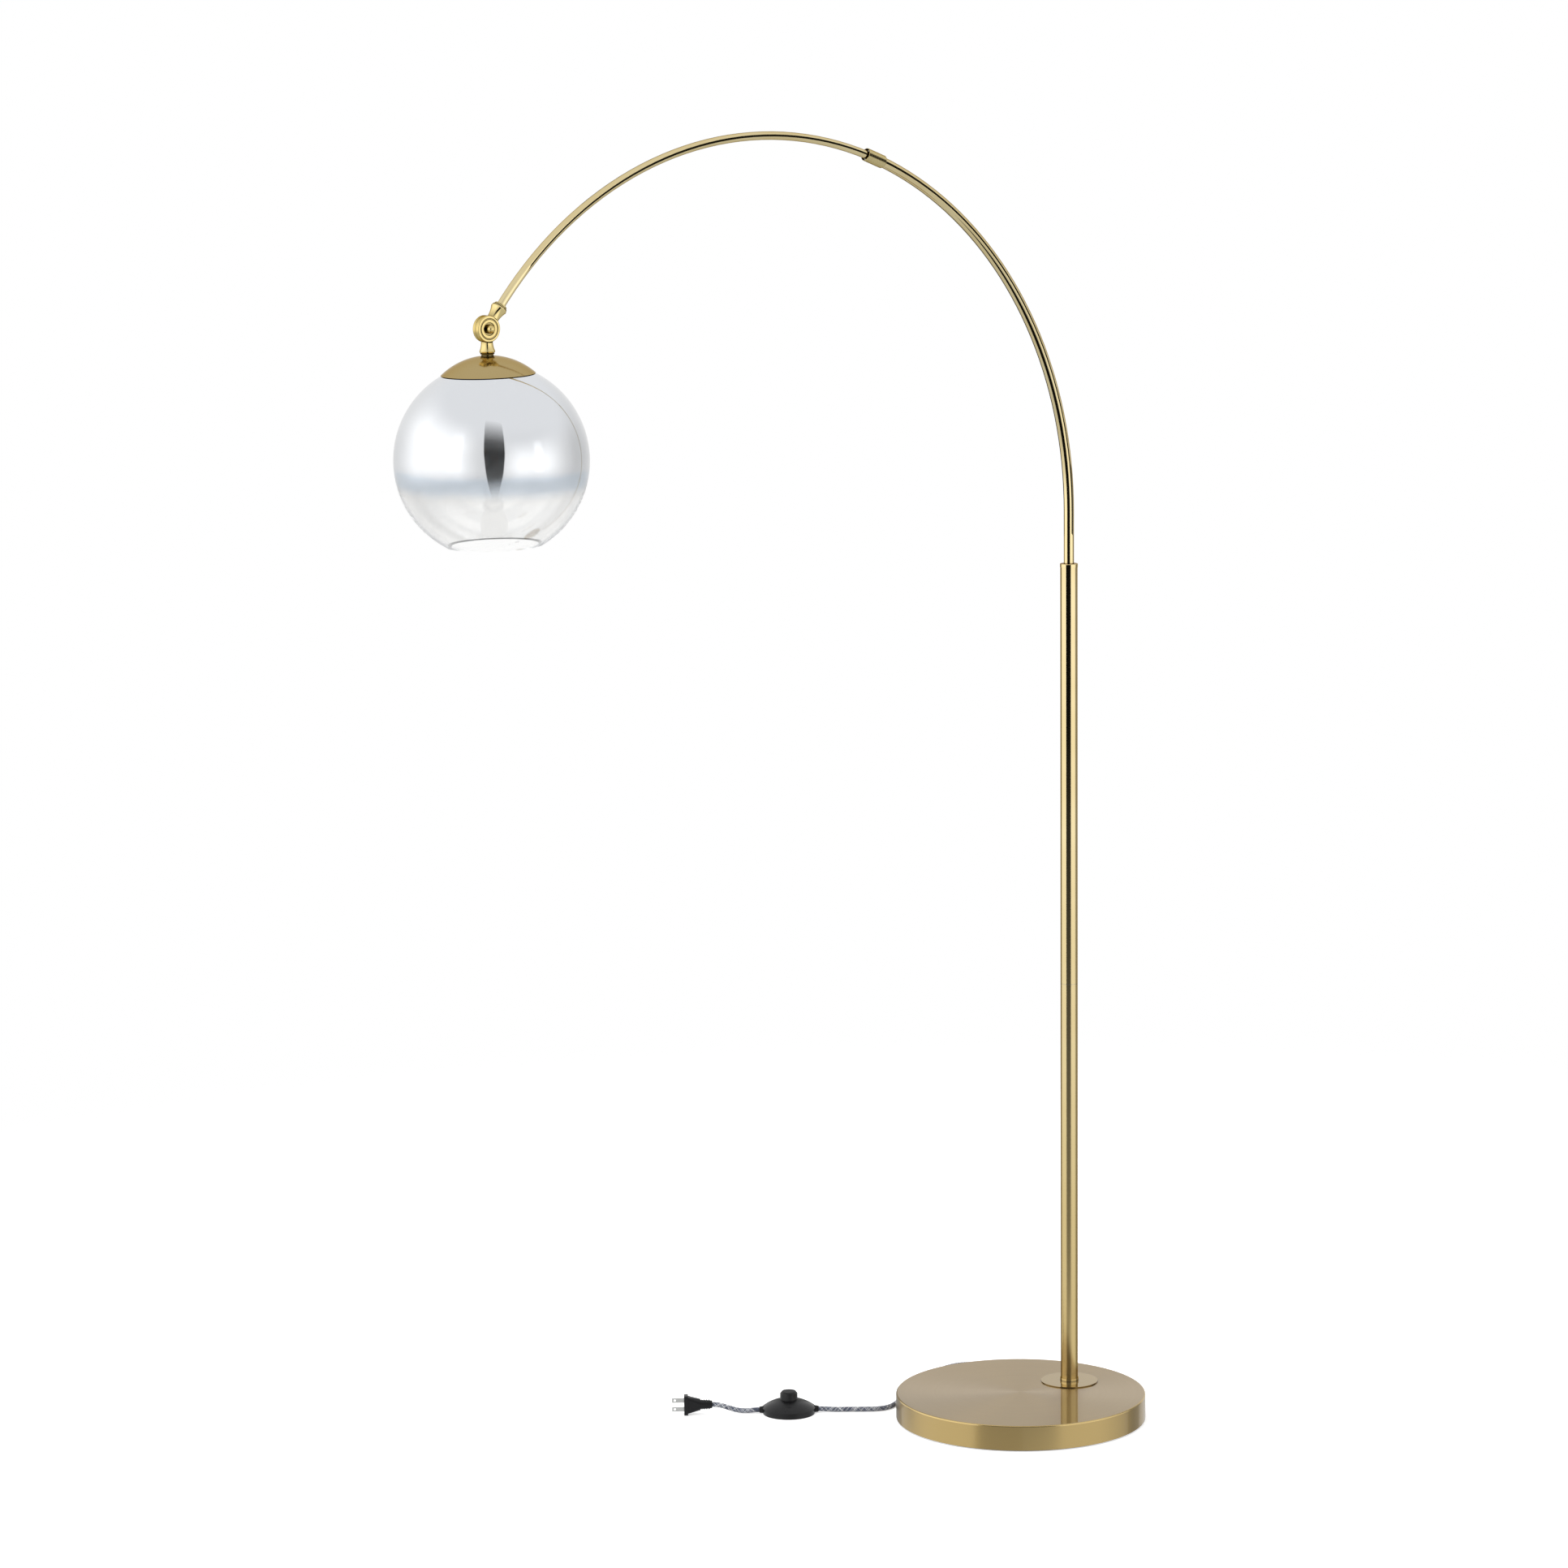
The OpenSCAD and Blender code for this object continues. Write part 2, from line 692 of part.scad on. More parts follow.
module socket_body() {
  color("#f2efe6") at_globe() difference() {
    rod_between(socket_r, socket_low, holder_low - 13);
    rod_between(shell_r + 1.3, socket_low - 1, bulb_tip_z + 6.5);
    rod_between(lead_r + 0.4, 0, holder_low);
  }
}

module socket_shell() {
  color(brass) at_globe() ring_between(shell_r + 1.2, shell_r + 0.5, bulb_neck_z + 0.5, bulb_tip_z - 2);
}

module socket_contact() {
  color(brass) at_globe() rod_between(3, bulb_tip_z, bulb_tip_z + 6.5);
}

// Bulb radius at a height above its widest place
function bulb_radius(rise, full) = bulb_neck_r + (bulb_r - bulb_neck_r) * (1 + cos(180 * rise / full)) / 2;

module bulb_outline(inset) {
  full = bulb_neck_z - bulb_mid;
  steps = 14;
  polygon(concat([[0, bulb_mid]], [for (i = [0 : steps]) let (rise = full * i / steps)
    [bulb_radius(rise, full) - inset, bulb_mid + rise]], [[0, bulb_neck_z]]));
  intersection() {
    translate([0, bulb_mid]) circle(r = bulb_r - inset);
    translate([0, bulb_mid - bulb_r]) square([bulb_r, bulb_r]);
  }
}

module bulb_glass() {
  color("#f4f4ee", 0.4) at_globe() difference() {
    rotate_extrude() bulb_outline(0);
    rotate_extrude() bulb_outline(bulb_wall);
  }
}

module bulb_base() {
  color(steel) at_globe() {
    rod_between(shell_r, bulb_neck_z, bulb_tip_z - 5);
    translate([0, 0, bulb_tip_z - 5]) cylinder(r1 = shell_r - 1, r2 = 4.5, h = 4);
    rod_between(4.5, bulb_tip_z - 1.5, bulb_tip_z);
  }
}

module bulb_stem() {
  color("#e6ecee", 0.5) at_globe() {
    rod_between(4, bulb_mid + 26, bulb_neck_z);
    rod_between(1.2, bulb_mid - 12, bulb_mid + 27);
  }
}

// Six upright filament sticks, each held by a wire from the stem at both ends
module bulb_filaments() {
  color("#b8863a") at_globe() for (k = [0 : 5]) rotate([0, 0, 60 * k]) {
    translate([8, 0, bulb_mid - 12]) cylinder(r = 0.9, h = filament_l);
    for (rise = [-11, filament_l - 13]) translate([1.15, 0, bulb_mid + rise]) rotate([0, 90, 0])
      cylinder(r = 0.35, h = 6.4);
  }
}

// ---------- internal lead ----------

lead_from = [(base_r - 10) * cos(gland_turn - lie_turn), (base_r - 10) * sin(gland_turn - lie_turn)];
lead_way = lead_from - [pole_offset, 0];

module lead_pole() {
  color(black) at_pole() rotate([0, 0, atan2(lead_way.y, lead_way.x)]) {
    translate([lead_bend_r, 0, gland_z]) rotate([0, 90, 0])
      cylinder(r = lead_r, h = norm(lead_way) - lead_bend_r);
    translate([lead_bend_r, 0, gland_z + lead_bend_r]) rotate([90, 0, 0]) rotate([0, 0, 180])
      rotate_extrude(angle = 90) translate([lead_bend_r, 0]) circle(r = lead_r);
    rod_between(lead_r, gland_z + lead_bend_r, arm_foot_z - 2);
  }
}

module lead_arm() {
  color(black) arm_rod(lead_r, arm_foot_z + 2, tip_start - retract_turn - 1, tube_bore_r - lead_r - 0.02);
}

module lead_tip() {
  color(black) bent_rod(lead_r, tip_start, tip_end, tip_bore_r - lead_r - 0.02);
}

module lead_head() {
  color(black) at_globe() rod_between(lead_r, bulb_tip_z + 9, cap_top + 14);
}

// ---------- cord ----------

module cord_base_run() {
  color("#3a4152") at_lie() swept_cord(base_route, cord_r, 12);
}

// Beside the upper turn, where the last strand doesn't run
module hank_step() {
  far = hank_run + hank_in_r;
  difference() {
    union() {
      translate([-far, -far]) square([far + hank_rise_u, far]);
      translate([-far, -1]) square([far + hank_leave_u, far]);
    }
    stadium(hank_run, hank_in_r + cord_d);
  }
}

module cord_hank() {
  color("#3a4152") at_lie() translate([0, hank_v, 0]) {
    translate([0, 0, hank_low]) linear_extrude(cord_d) difference() {
      stadium(hank_run, hank_in_r + 2 * cord_d);
      stadium(hank_run, hank_in_r);
    }
    translate([0, 0, hank_low + cord_d]) linear_extrude(cord_d) difference() {
      stadium(hank_run, hank_in_r + 2 * cord_d);
      stadium(hank_run, hank_in_r);
      hank_step();
    }
  }
}

module hank_ties() {
  strap_in = 2 * cord_d + 0.2;
  color(black) at_lie() for (side = [-1, 1])
    translate([0, hank_v + side * (hank_in_r + cord_d), hank_low + cord_d]) rotate([0, 90, 0])
      linear_extrude(10, center = true) difference() {
        square([strap_in + 1.8, strap_in + 1.6], center = true);
        square([strap_in - 0.2, strap_in], center = true);
      }
}

module cord_switch_run() {
  color("#3a4152") at_lie() swept_cord(switch_route, cord_r, 12);
}

module cord_plug_run() {
  color("#3a4152") at_lie() swept_cord(plug_route, cord_r, 12);
}

// ---------- foot switch ----------

switch_rim_z = 7;
switch_sphere_r = 62;
switch_wall = 2;
button_flange_top = switch_h - 3.8;
button_top = switch_h + 7 + button_travel;        // 7 mm of it still shows when it is pressed
switch_screw_at = 24;

module grommet_room() {
  for (side = [0, 180]) rotate([0, 0, side]) translate([switch_r - 6, 0, grommet_z]) rotate([0, 90, 0])
    cylinder(r = 5, h = 8);
}

module switch_base() {
  color(black) at_switch() difference() {
    rod_between(switch_r - 0.8, 0, switch_rim_z);
    rod_between(switch_r - 0.8 - switch_wall, switch_wall, switch_rim_z + 1);
    grommet_room();
    for (side = [-1, 1]) translate([0, side * switch_screw_at, 0]) rod_between(1.8, -1, 4);
  }
}

module switch_dome(r, low, high) {
  intersection() {
    translate([0, 0, high - switch_sphere_r]) sphere(r = switch_sphere_r, $fn = 128);
    rod_between(r, low, high);
  }
}

module switch_cover() {
  color(black) at_switch() {
    difference() {
      switch_dome(switch_r, switch_rim_z, switch_h);
      switch_dome(switch_r - switch_wall, switch_rim_z - 1, switch_h - switch_wall);
      rod_between(button_d / 2 + slip_fit, 0, switch_h + 1);
      grommet_room();
    }
    for (side = [-1, 1]) translate([0, side * switch_screw_at, 0])
      ring_between(3.6, 1.5, switch_wall, switch_h - 6);
  }
}

module switch_button() {
  color(black) at_switch() difference() {
    union() {
      rod_between(button_d / 2, button_flange_top - 1.5, button_top - 3);
      rod_between(button_d / 2 + 1.6, button_flange_top - 1.5, button_flange_top);
      translate([0, 0, button_top - 3]) cylinder(r1 = button_d / 2, r2 = button_d / 2 - 2.5, h = 3);
    }
    rod_between(9, 0, button_flange_top + 5);
  }
}

spring_low = 12.4;
spring_wire_r = 0.5;
spring_turns = 5;
spring_high = button_flange_top + 5;
spring_route = [for (i = [0 : 14 * spring_turns]) let (turn = 360 * i / 14)
  [6 * cos(turn), 6 * sin(turn),
   spring_low + spring_wire_r + (spring_high - spring_low - 2 * spring_wire_r) * i / (14 * spring_turns)]];

module switch_spring() {
  color(steel) at_switch() swept_cord(spring_route, spring_wire_r, 6);
}

module switch_mechanism() {
  color("#5c4a3a") at_switch() {
    translate([0, 0, switch_wall + 4.2]) cube([26, 20, 8.4], center = true);
    rod_between(8, switch_wall + 8, spring_low);
  }
}

module switch_screws() {
  color(steel) at_switch() for (side = [-1, 1]) translate([0, side * switch_screw_at, 0])
    rod_between(1.4, 0.3, 10);
}

module switch_grommets() {
  color(black) at_switch() for (side = [0, 180]) rotate([0, 0, side])
    translate([switch_r - 5, 0, grommet_z]) rotate([0, 90, 0]) {
      cylinder(r = 4.9, h = 5);
      translate([0, 0, 5]) cylinder(r1 = 4.9, r2 = 4.4, h = 4);
    }
}

// ---------- plug ----------

flange_l = 5.5;
grip_l = 17;
plug_relief_l = 17;
blade_l = 17;
plug_high = 2 * plug_z;
plug_wide = 19;

module plug_body() {
  color(black) at_plug() {
    cylinder(r1 = 5.5, r2 = 6.6, h = plug_relief_l);
    for (k = [1 : 4]) translate([0, 0, 3.4 * k]) cylinder(r = 7, h = 1.6);
    hull() {
      translate([0, 0, plug_relief_l - 0.5]) cylinder(r = 8, h = 1, $fn = 32);
      translate([0, 0, plug_relief_l + grip_l]) linear_extrude(0.2)
        rounded_plate(plug_high - 4, plug_wide - 3, 4, $fn = 32);
    }
    translate([0, 0, plug_relief_l + grip_l]) linear_extrude(flange_l) rounded_plate(plug_high, plug_wide, 4);
  }
}

module plug_blades() {
  color(steel) at_plug() for (side = [-1, 1])
    translate([side * blade_gap / 2, 0, plug_relief_l + grip_l + flange_l + blade_l / 2]) difference() {
      cube([6.35, 1.5, blade_l], center = true);
      translate([0, 0, 4.5]) rotate([90, 0, 0]) cylinder(r = 1.6, h = 4, center = true);
    }
}

bottom_felt();
bottom_plate();
bottom_screws();
base_weight();
base_cover();
cord_gland();
pole_flange();
pole_foot_ring();
pole_foot_plug();
pole_nipple();
nipple_washer();
nipple_nut();
pole_lower();
pole_coupler();
pole_upper();
pole_top_bushing();
arm_lower_tube();
arm_collar();
collar_bushing();
arm_tip_tube();
tip_guide();
knuckle_upper();
friction_washer();
knuckle_lower();
knuckle_screw();
knuckle_nut();
shade_cap();
cap_nipple();
cap_nut();
shade_holder();
shade_gasket();
shade_ring();
shade_glass();
socket_cap();
socket_body();
socket_shell();
socket_contact();
bulb_base();
bulb_glass();
bulb_stem();
bulb_filaments();
lead_pole();
lead_arm();
lead_tip();
lead_head();
cord_base_run();
cord_hank();
hank_ties();
cord_switch_run();
cord_plug_run();
switch_base();
switch_cover();
switch_button();
switch_spring();
switch_mechanism();
switch_screws();
switch_grommets();
plug_body();
plug_blades();
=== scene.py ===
"""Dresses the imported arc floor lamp: its camera, its cords, the finishes of its pieces, and its studio.

Lengths are in metres, save for the cord's own route, in millimetres as it is in the part's source."""

import json
import math

import bpy
import numpy as np
from mathutils import Matrix, Vector


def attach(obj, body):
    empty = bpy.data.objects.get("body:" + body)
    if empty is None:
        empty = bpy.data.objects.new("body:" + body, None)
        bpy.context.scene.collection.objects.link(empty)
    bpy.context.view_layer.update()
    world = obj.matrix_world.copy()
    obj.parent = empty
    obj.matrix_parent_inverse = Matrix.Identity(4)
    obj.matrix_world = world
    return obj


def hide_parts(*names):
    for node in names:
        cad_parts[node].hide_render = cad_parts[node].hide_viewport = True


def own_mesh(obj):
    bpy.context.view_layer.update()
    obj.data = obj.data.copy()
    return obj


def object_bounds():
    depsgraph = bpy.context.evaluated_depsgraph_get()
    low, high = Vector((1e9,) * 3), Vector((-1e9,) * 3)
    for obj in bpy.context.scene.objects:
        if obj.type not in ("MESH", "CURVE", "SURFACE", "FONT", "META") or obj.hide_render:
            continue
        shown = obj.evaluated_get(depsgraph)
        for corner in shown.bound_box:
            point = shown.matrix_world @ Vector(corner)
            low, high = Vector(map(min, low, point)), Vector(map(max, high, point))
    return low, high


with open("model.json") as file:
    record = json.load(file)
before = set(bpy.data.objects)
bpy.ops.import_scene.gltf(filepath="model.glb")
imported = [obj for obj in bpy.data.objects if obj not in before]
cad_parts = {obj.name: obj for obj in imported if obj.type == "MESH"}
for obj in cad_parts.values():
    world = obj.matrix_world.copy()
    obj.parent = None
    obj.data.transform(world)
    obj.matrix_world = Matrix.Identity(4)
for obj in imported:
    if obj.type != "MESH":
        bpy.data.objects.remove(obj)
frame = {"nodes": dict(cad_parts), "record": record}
cad_low, cad_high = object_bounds()
scene = bpy.context.scene
scene.view_settings.view_transform = "Standard"
NODES = frame["nodes"]
MM = 0.001

# ---------- camera ----------

# Where it stands; how it is turned, in radians; its lens and sensor, in millimetres; its near and far limits
CAMERA_AT = (-4.6283, -5.4715, 2.0490)
CAMERA_YAW, CAMERA_PITCH, CAMERA_ROLL = -0.6569, 0.1589, -0.0092
CAMERA_LENS, CAMERA_SENSOR = 121.0, 36.0
CAMERA_CLIP = (0.05, 100.0)


def make_camera():
    """The photograph's own viewpoint: yaw about the upright, then pitch down, then a slight roll."""
    yaw, pitch, roll = CAMERA_YAW, CAMERA_PITCH, CAMERA_ROLL
    forward = Vector((-math.sin(yaw) * math.cos(pitch), math.cos(yaw) * math.cos(pitch), -math.sin(pitch)))
    right = Vector((math.cos(yaw), math.sin(yaw), 0.0))
    up = right.cross(forward)
    right_rolled = math.cos(roll) * right + math.sin(roll) * up
    up_rolled = -math.sin(roll) * right + math.cos(roll) * up
    data = bpy.data.cameras.new("camera")
    data.sensor_width = CAMERA_SENSOR
    data.lens = CAMERA_LENS
    data.clip_start, data.clip_end = CAMERA_CLIP
    camera = bpy.data.objects.new("camera", data)
    axes = Matrix((right_rolled, up_rolled, -forward)).transposed()
    camera.matrix_world = Matrix.Translation(CAMERA_AT) @ axes.to_4x4()
    scene.collection.objects.link(camera)
    scene.camera = camera


# ---------- the lines the cord lies on ----------

# Each point is (u, v, z): u runs to the right and v away, both as the camera sees the floor, and z up
LIE_TURN = math.radians(36)
BASE_R = 174.6
CORD_D = 7.0
# Where the cord leaves the gland, then the switch with how far out its grommets reach, then the plug
GLAND_TURN = math.radians(58)
GLAND_OUT, GLAND_Z = 200.6, 10.0
SWITCH_U, SWITCH_V = -324.0, 40.0
GROMMET_OUT, GROMMET_Z = 41.5, 5.2
PLUG_U, PLUG_Z = -432.0, 14.0
# The hank: how long its straight runs are, its inner radius, and its gaps to the base and to the floor
HANK_RUN, HANK_IN_R, HANK_GAP, HANK_LOW = 102.0, 18.0, 2.4, 1.0
HANK_V = BASE_R + HANK_GAP + HANK_IN_R + 2 * CORD_D
FAR_V = HANK_V + HANK_IN_R + 1.5 * CORD_D
LOWER_Z = HANK_LOW + CORD_D / 2
UPPER_Z = LOWER_Z + CORD_D
# How many points each of its half rounds has, and how far apart the cord's own points are
ARC_STEPS = 24
POINT_STEP = 2.4 * MM

EXIT = (GLAND_OUT * math.cos(GLAND_TURN), GLAND_OUT * math.sin(GLAND_TURN), GLAND_Z)
BASE_ROUTE = [EXIT, (111, 178, 9.7), (115.5, 189, 8.8), (116, 201, 7.7), (113, 212.5, 6.6),
              (106.5, 222.5, 5.6), (97, 230.5, 4.9), (85, 235.7, 4.5), (72, FAR_V, 4.5), (58, FAR_V, 4.5)]
SWITCH_ROUTE = [(-44, FAR_V, 11.5), (-58, FAR_V, 11.5), (-71.5, 235.5, 11.3), (-84, 230.5, 10.6),
                (-95.5, 223.5, 9.2), (-105.5, 213, 7.2), (-114.5, 200.5, 5.4), (-122.5, 187, 4.2),
                (-130, 173, 3.6), (-137, 158.5, 3.5), (-144, 143, 3.5), (-150.5, 127, 3.5),
                (-156.5, 111, 3.5), (-162, 95, 3.5), (-167, 79, 3.5), (-172, 66, 3.5),
                (-177, 56, 3.5), (-183.5, 48, 3.5), (-191.5, 42.5, 3.5), (-202, 40, 3.5),
                (-216, 39.5, 3.5), (-231, 40, 3.5), (-246, 40.5, 3.5), (-260, 40.5, 3.7),
                (-272, 40, 4.6), (SWITCH_U + GROMMET_OUT, SWITCH_V, GROMMET_Z)]
PLUG_ROUTE = [(SWITCH_U - GROMMET_OUT, SWITCH_V, GROMMET_Z), (-373, 40, 4.7), (-383, 40, 4.2),
              (-393, 40, 4.6), (-402, 40, 6.6), (-411, 40, 9.6), (-421, 40, 12.6), (PLUG_U, 40, PLUG_Z)]


def lie(u, v, z):
    """Where a point of the cord's route is in the lamp's own frame."""
    c, s = math.cos(LIE_TURN), math.sin(LIE_TURN)
    return Vector((u * c + v * s, -u * s + v * c, z)) * MM


def smooth(t):
    """From 0 to 1 with no kink at either end."""
    t = min(1.0, max(0.0, t))
    return t * t * (3 - 2 * t)


def hank_points():
    """Three turns: in on the low outer track, round on the inner ones, and out over the top."""
    inner, outer, half = HANK_IN_R + CORD_D / 2, HANK_IN_R + 1.5 * CORD_D, HANK_RUN / 2
    arc = inner * math.pi
    # For each turn: its track on the far side, how far that shifts, and where along the near side it does
    turns = [(outer, LOWER_Z, inner - outer, 0, half + 0.35 * inner, half + arc),
             (inner, LOWER_Z, 0, CORD_D, half - 16, half + 0.62 * arc),
             (inner, UPPER_Z, outer - inner, 0, 6, half - 8)]
    points = []
    for number, (r, z, widen, rise, shift_from, shift_to) in enumerate(turns):
        start = BASE_ROUTE[-1][0] if number == 0 else half
        points += [(u, HANK_V + r, z) for u in np.linspace(start, -half, 7)[:-1]]
        for i in range(ARC_STEPS):
            a = math.pi / 2 + math.pi * i / ARC_STEPS
            points.append((-half + r * math.cos(a), HANK_V + r * math.sin(a), z))
        for u in np.linspace(-half, half, 13)[:-1]:
            s = smooth((u - shift_from) / (shift_to - shift_from))
            points.append((u, HANK_V - r - s * widen, z + s * rise))
        for i in range(ARC_STEPS):
            turned = math.pi * i / ARC_STEPS
            s = smooth((half + inner * turned - shift_from) / (shift_to - shift_from))
            a, rr = turned - math.pi / 2, r + s * widen
            points.append((half + rr * math.cos(a), HANK_V + rr * math.sin(a), z + s * rise))
    points += [(u, FAR_V, UPPER_Z) for u in np.linspace(half, SWITCH_ROUTE[0][0], 7)]
    return points


def spline(points, step):
    """Points about a step apart on the natural cubic spline through the given ones."""
    p = np.array([list(q) for q in points], float)
    chord = np.r_[0, np.cumsum(np.linalg.norm(np.diff(p, axis=0), axis=1))]
    h, n = np.diff(chord), len(p)
    a, rhs = np.eye(n), np.zeros((n, 3))
    for i in range(1, n - 1):
        a[i, i - 1:i + 2] = h[i - 1], 2 * (h[i - 1] + h[i]), h[i]
        rhs[i] = 6 * ((p[i + 1] - p[i]) / h[i] - (p[i] - p[i - 1]) / h[i - 1])
    m = np.linalg.solve(a, rhs)
    t = np.linspace(0, chord[-1], max(2, round(chord[-1] / step)) + 1)
    k = np.clip(np.searchsorted(chord, t, side="right") - 1, 0, n - 2)
    hk, before, after = h[k][:, None], (chord[k + 1] - t)[:, None], (t - chord[k])[:, None]
    out = (m[k] * before ** 3 + m[k + 1] * after ** 3) / (6 * hk)
    out += (p[k] / hk - m[k] * hk / 6) * before + (p[k + 1] / hk - m[k + 1] * hk / 6) * after
    return [Vector(q) for q in out]


def tube(name, line, radius, material, body, sides=20):
    """A closed round tube along a line, riding on a body, with how far along and how far round as its UVs."""
    tangents = [(line[min(i + 1, len(line) - 1)] - line[max(i - 1, 0)]).normalized()
                for i in range(len(line))]
    normal = Vector((0, 0, 1)) - tangents[0] * tangents[0].z
    vertices, along, far = [], [], 0.0
    for i, (p, t) in enumerate(zip(line, tangents)):
        normal = (normal - t * normal.dot(t)).normalized()
        side = t.cross(normal)
        for k in range(sides):
            a = 2 * math.pi * k / sides
            vertices.append(p + radius * (math.cos(a) * normal + math.sin(a) * side))
        far += (p - line[i - 1]).length if i else 0.0
        along.append(far)
    faces, uvs = [], []
    for i in range(len(line) - 1):
        for k in range(sides):
            k2 = (k + 1) % sides
            faces.append((i * sides + k, i * sides + k2, (i + 1) * sides + k2, (i + 1) * sides + k))
            uvs += [(along[i], k / sides), (along[i], (k + 1) / sides),
                    (along[i + 1], (k + 1) / sides), (along[i + 1], k / sides)]
    for ring, order in ((0, -1), (len(line) - 1, 1)):
        faces.append(tuple(ring * sides + k for k in range(sides))[::order])
        uvs += [(along[ring], 0.0)] * sides
    mesh = bpy.data.meshes.new(name)
    mesh.from_pydata([tuple(v) for v in vertices], [], faces)
    mesh.polygons.foreach_set("use_smooth", [True] * len(mesh.polygons))
    mesh.uv_layers.new(name="along").data.foreach_set("uv", np.array(uvs, np.float32).ravel())
    mesh.update()
    obj = bpy.data.objects.new(name, mesh)
    scene.collection.objects.link(obj)
    mesh.materials.append(material)
    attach(obj, body)
    return obj


# ---------- material nodes ----------

class Nodes:
    """Short ways to add and join the nodes of a tree."""

    def __init__(self, tree):
        self.tree = tree

    def add(self, kind, settings=(), **inputs):
        """A node with its settings, and its inputs by name, or by number as i0, i1 and so on."""
        node = self.tree.nodes.new("ShaderNode" + kind)
        for key, value in dict(settings).items():
            setattr(node, key, value)
        for key, value in inputs.items():
            by_number = key[0] == "i" and key[1:].isdigit()
            self.set(node.inputs[int(key[1:]) if by_number else key.replace("_", " ")], value)
        return node

    def set(self, socket, value):
        """Joins a socket to another one, or gives it a constant."""
        if isinstance(value, bpy.types.NodeSocket):
            self.tree.links.new(value, socket)
        else:
            socket.default_value = value

    def math(self, operation, a, b=0.0, c=0.0, clamp=False):
        return self.add("Math", {"operation": operation, "use_clamp": clamp}, i0=a, i1=b, i2=c).outputs[0]

    def mix(self, factor, a, b):
        """Colour a where the factor is 0, and b where it is 1."""
        node = self.add("Mix", {"data_type": "RGBA"})
        self.set(node.inputs["Factor"], factor)
        self.set(node.inputs[6], a)
        self.set(node.inputs[7], b)
        return node.outputs[2]

    def ramp(self, value, stops, interpolation="LINEAR"):
        """The colour for a value, from stops of a position and a colour."""
        node = self.add("ValToRGB", i0=value)
        ramp = node.color_ramp
        ramp.interpolation = interpolation
        while len(ramp.elements) < len(stops):
            ramp.elements.new(0.5)
        for element, (position, colour) in zip(ramp.elements, stops):
            element.position = position
            element.color = colour if len(colour) == 4 else (*colour, 1)
        return node.outputs[0]

    def span(self, value, low, high, to_low=0.0, to_high=1.0, smooth_step=False):
        """What a value between low and high is between to_low and to_high, and never beyond those."""
        node = self.add("MapRange", {"interpolation_type": "SMOOTHSTEP" if smooth_step else "LINEAR"},
                        i0=value, i1=low, i2=high, i3=to_low, i4=to_high)
        return node.outputs[0]

    def place(self):
        """Where the point is on the lamp, in metres, as a vector and its three parts."""
        vector = self.add("TexCoord").outputs["Object"]
        parts = self.add("SeparateXYZ", i0=vector).outputs
        return vector, parts[0], parts[1], parts[2]

    def noise(self, vector, scale, detail=2.0, rough=0.5, stretch=None):
        """Noise that can be finer along some of the axes than along others."""
        if stretch:
            vector = self.add("Mapping", i0=vector, Scale=stretch).outputs[0]
        return self.add("TexNoise", Vector=vector, Scale=scale, Detail=detail, Roughness=rough).outputs["Fac"]

    def bump(self, height, distance, strength=1.0, normal=None):
        """A normal that leans with a height, on top of another normal where one is given."""
        node = self.add("Bump", Height=height, Distance=distance, Strength=strength)
        if normal is not None:
            self.set(node.inputs["Normal"], normal)
        return node.outputs[0]


class Finish(Nodes):
    """A new material with its Principled shader, whose sockets start with the given values."""

    def __init__(self, name, **settings):
        self.material = bpy.data.materials.new(name)
        self.material.use_nodes = True
        super().__init__(self.material.node_tree)
        self.shader = self.tree.nodes["Principled BSDF"]
        self.output = self.tree.nodes["Material Output"]
        self.shade(**settings)

    def shade(self, **inputs):
        """Sets or joins the Principled shader's sockets, and gives the material."""
        for socket, value in inputs.items():
            self.set(self.shader.inputs[socket.replace("_", " ")], value)
        return self.material

    def surface(self, shader):
        """Shows another shader in place of the Principled one, and gives the material."""
        self.tree.links.new(shader.outputs[0], self.output.inputs["Surface"])
        return self.material


def linear(hex_colour):
    """A colour written as rrggbb, as a shader takes it."""
    parts = [int(hex_colour[i:i + 2], 16) / 255 for i in (0, 2, 4)]
    return tuple(c / 12.92 if c <= 0.04045 else ((c + 0.055) / 1.055) ** 2.4 for c in parts) + (1.0,)


# What brass turns to where it is seen edge-on, the gold of the painted highlight on its rims, and the painted
# shade where other pieces shut it in
EDGE_TINT = (0.42, 0.30, 0.17, 1)
RIM_HIGHLIGHT_GOLD = "e2c684"
PAINTED_SHADE, PAINTED_SHADE_SATIN = "2e2110", "3a2c14"
PAINTED_SHADE_REACH, PAINTED_SHADE_REACH_SATIN = 0.006, 0.004
PAINTED_SHADE_SAMPLES = 8
# The lacquer's own gloss, and how fine the lathe's rings are
LACQUER_ROUGHNESS = 0.05
RING_SCALE, BROAD_RING_SCALE = 1100.0, 160.0


def unshaded_part(n, reach):
    """How much of the view is open within a reach: 1 in the open, and 0 where other pieces shut it in. It
    masks the painted shade.
    """
    return n.add("AmbientOcclusion", {"samples": PAINTED_SHADE_SAMPLES}, Distance=reach).outputs["AO"]


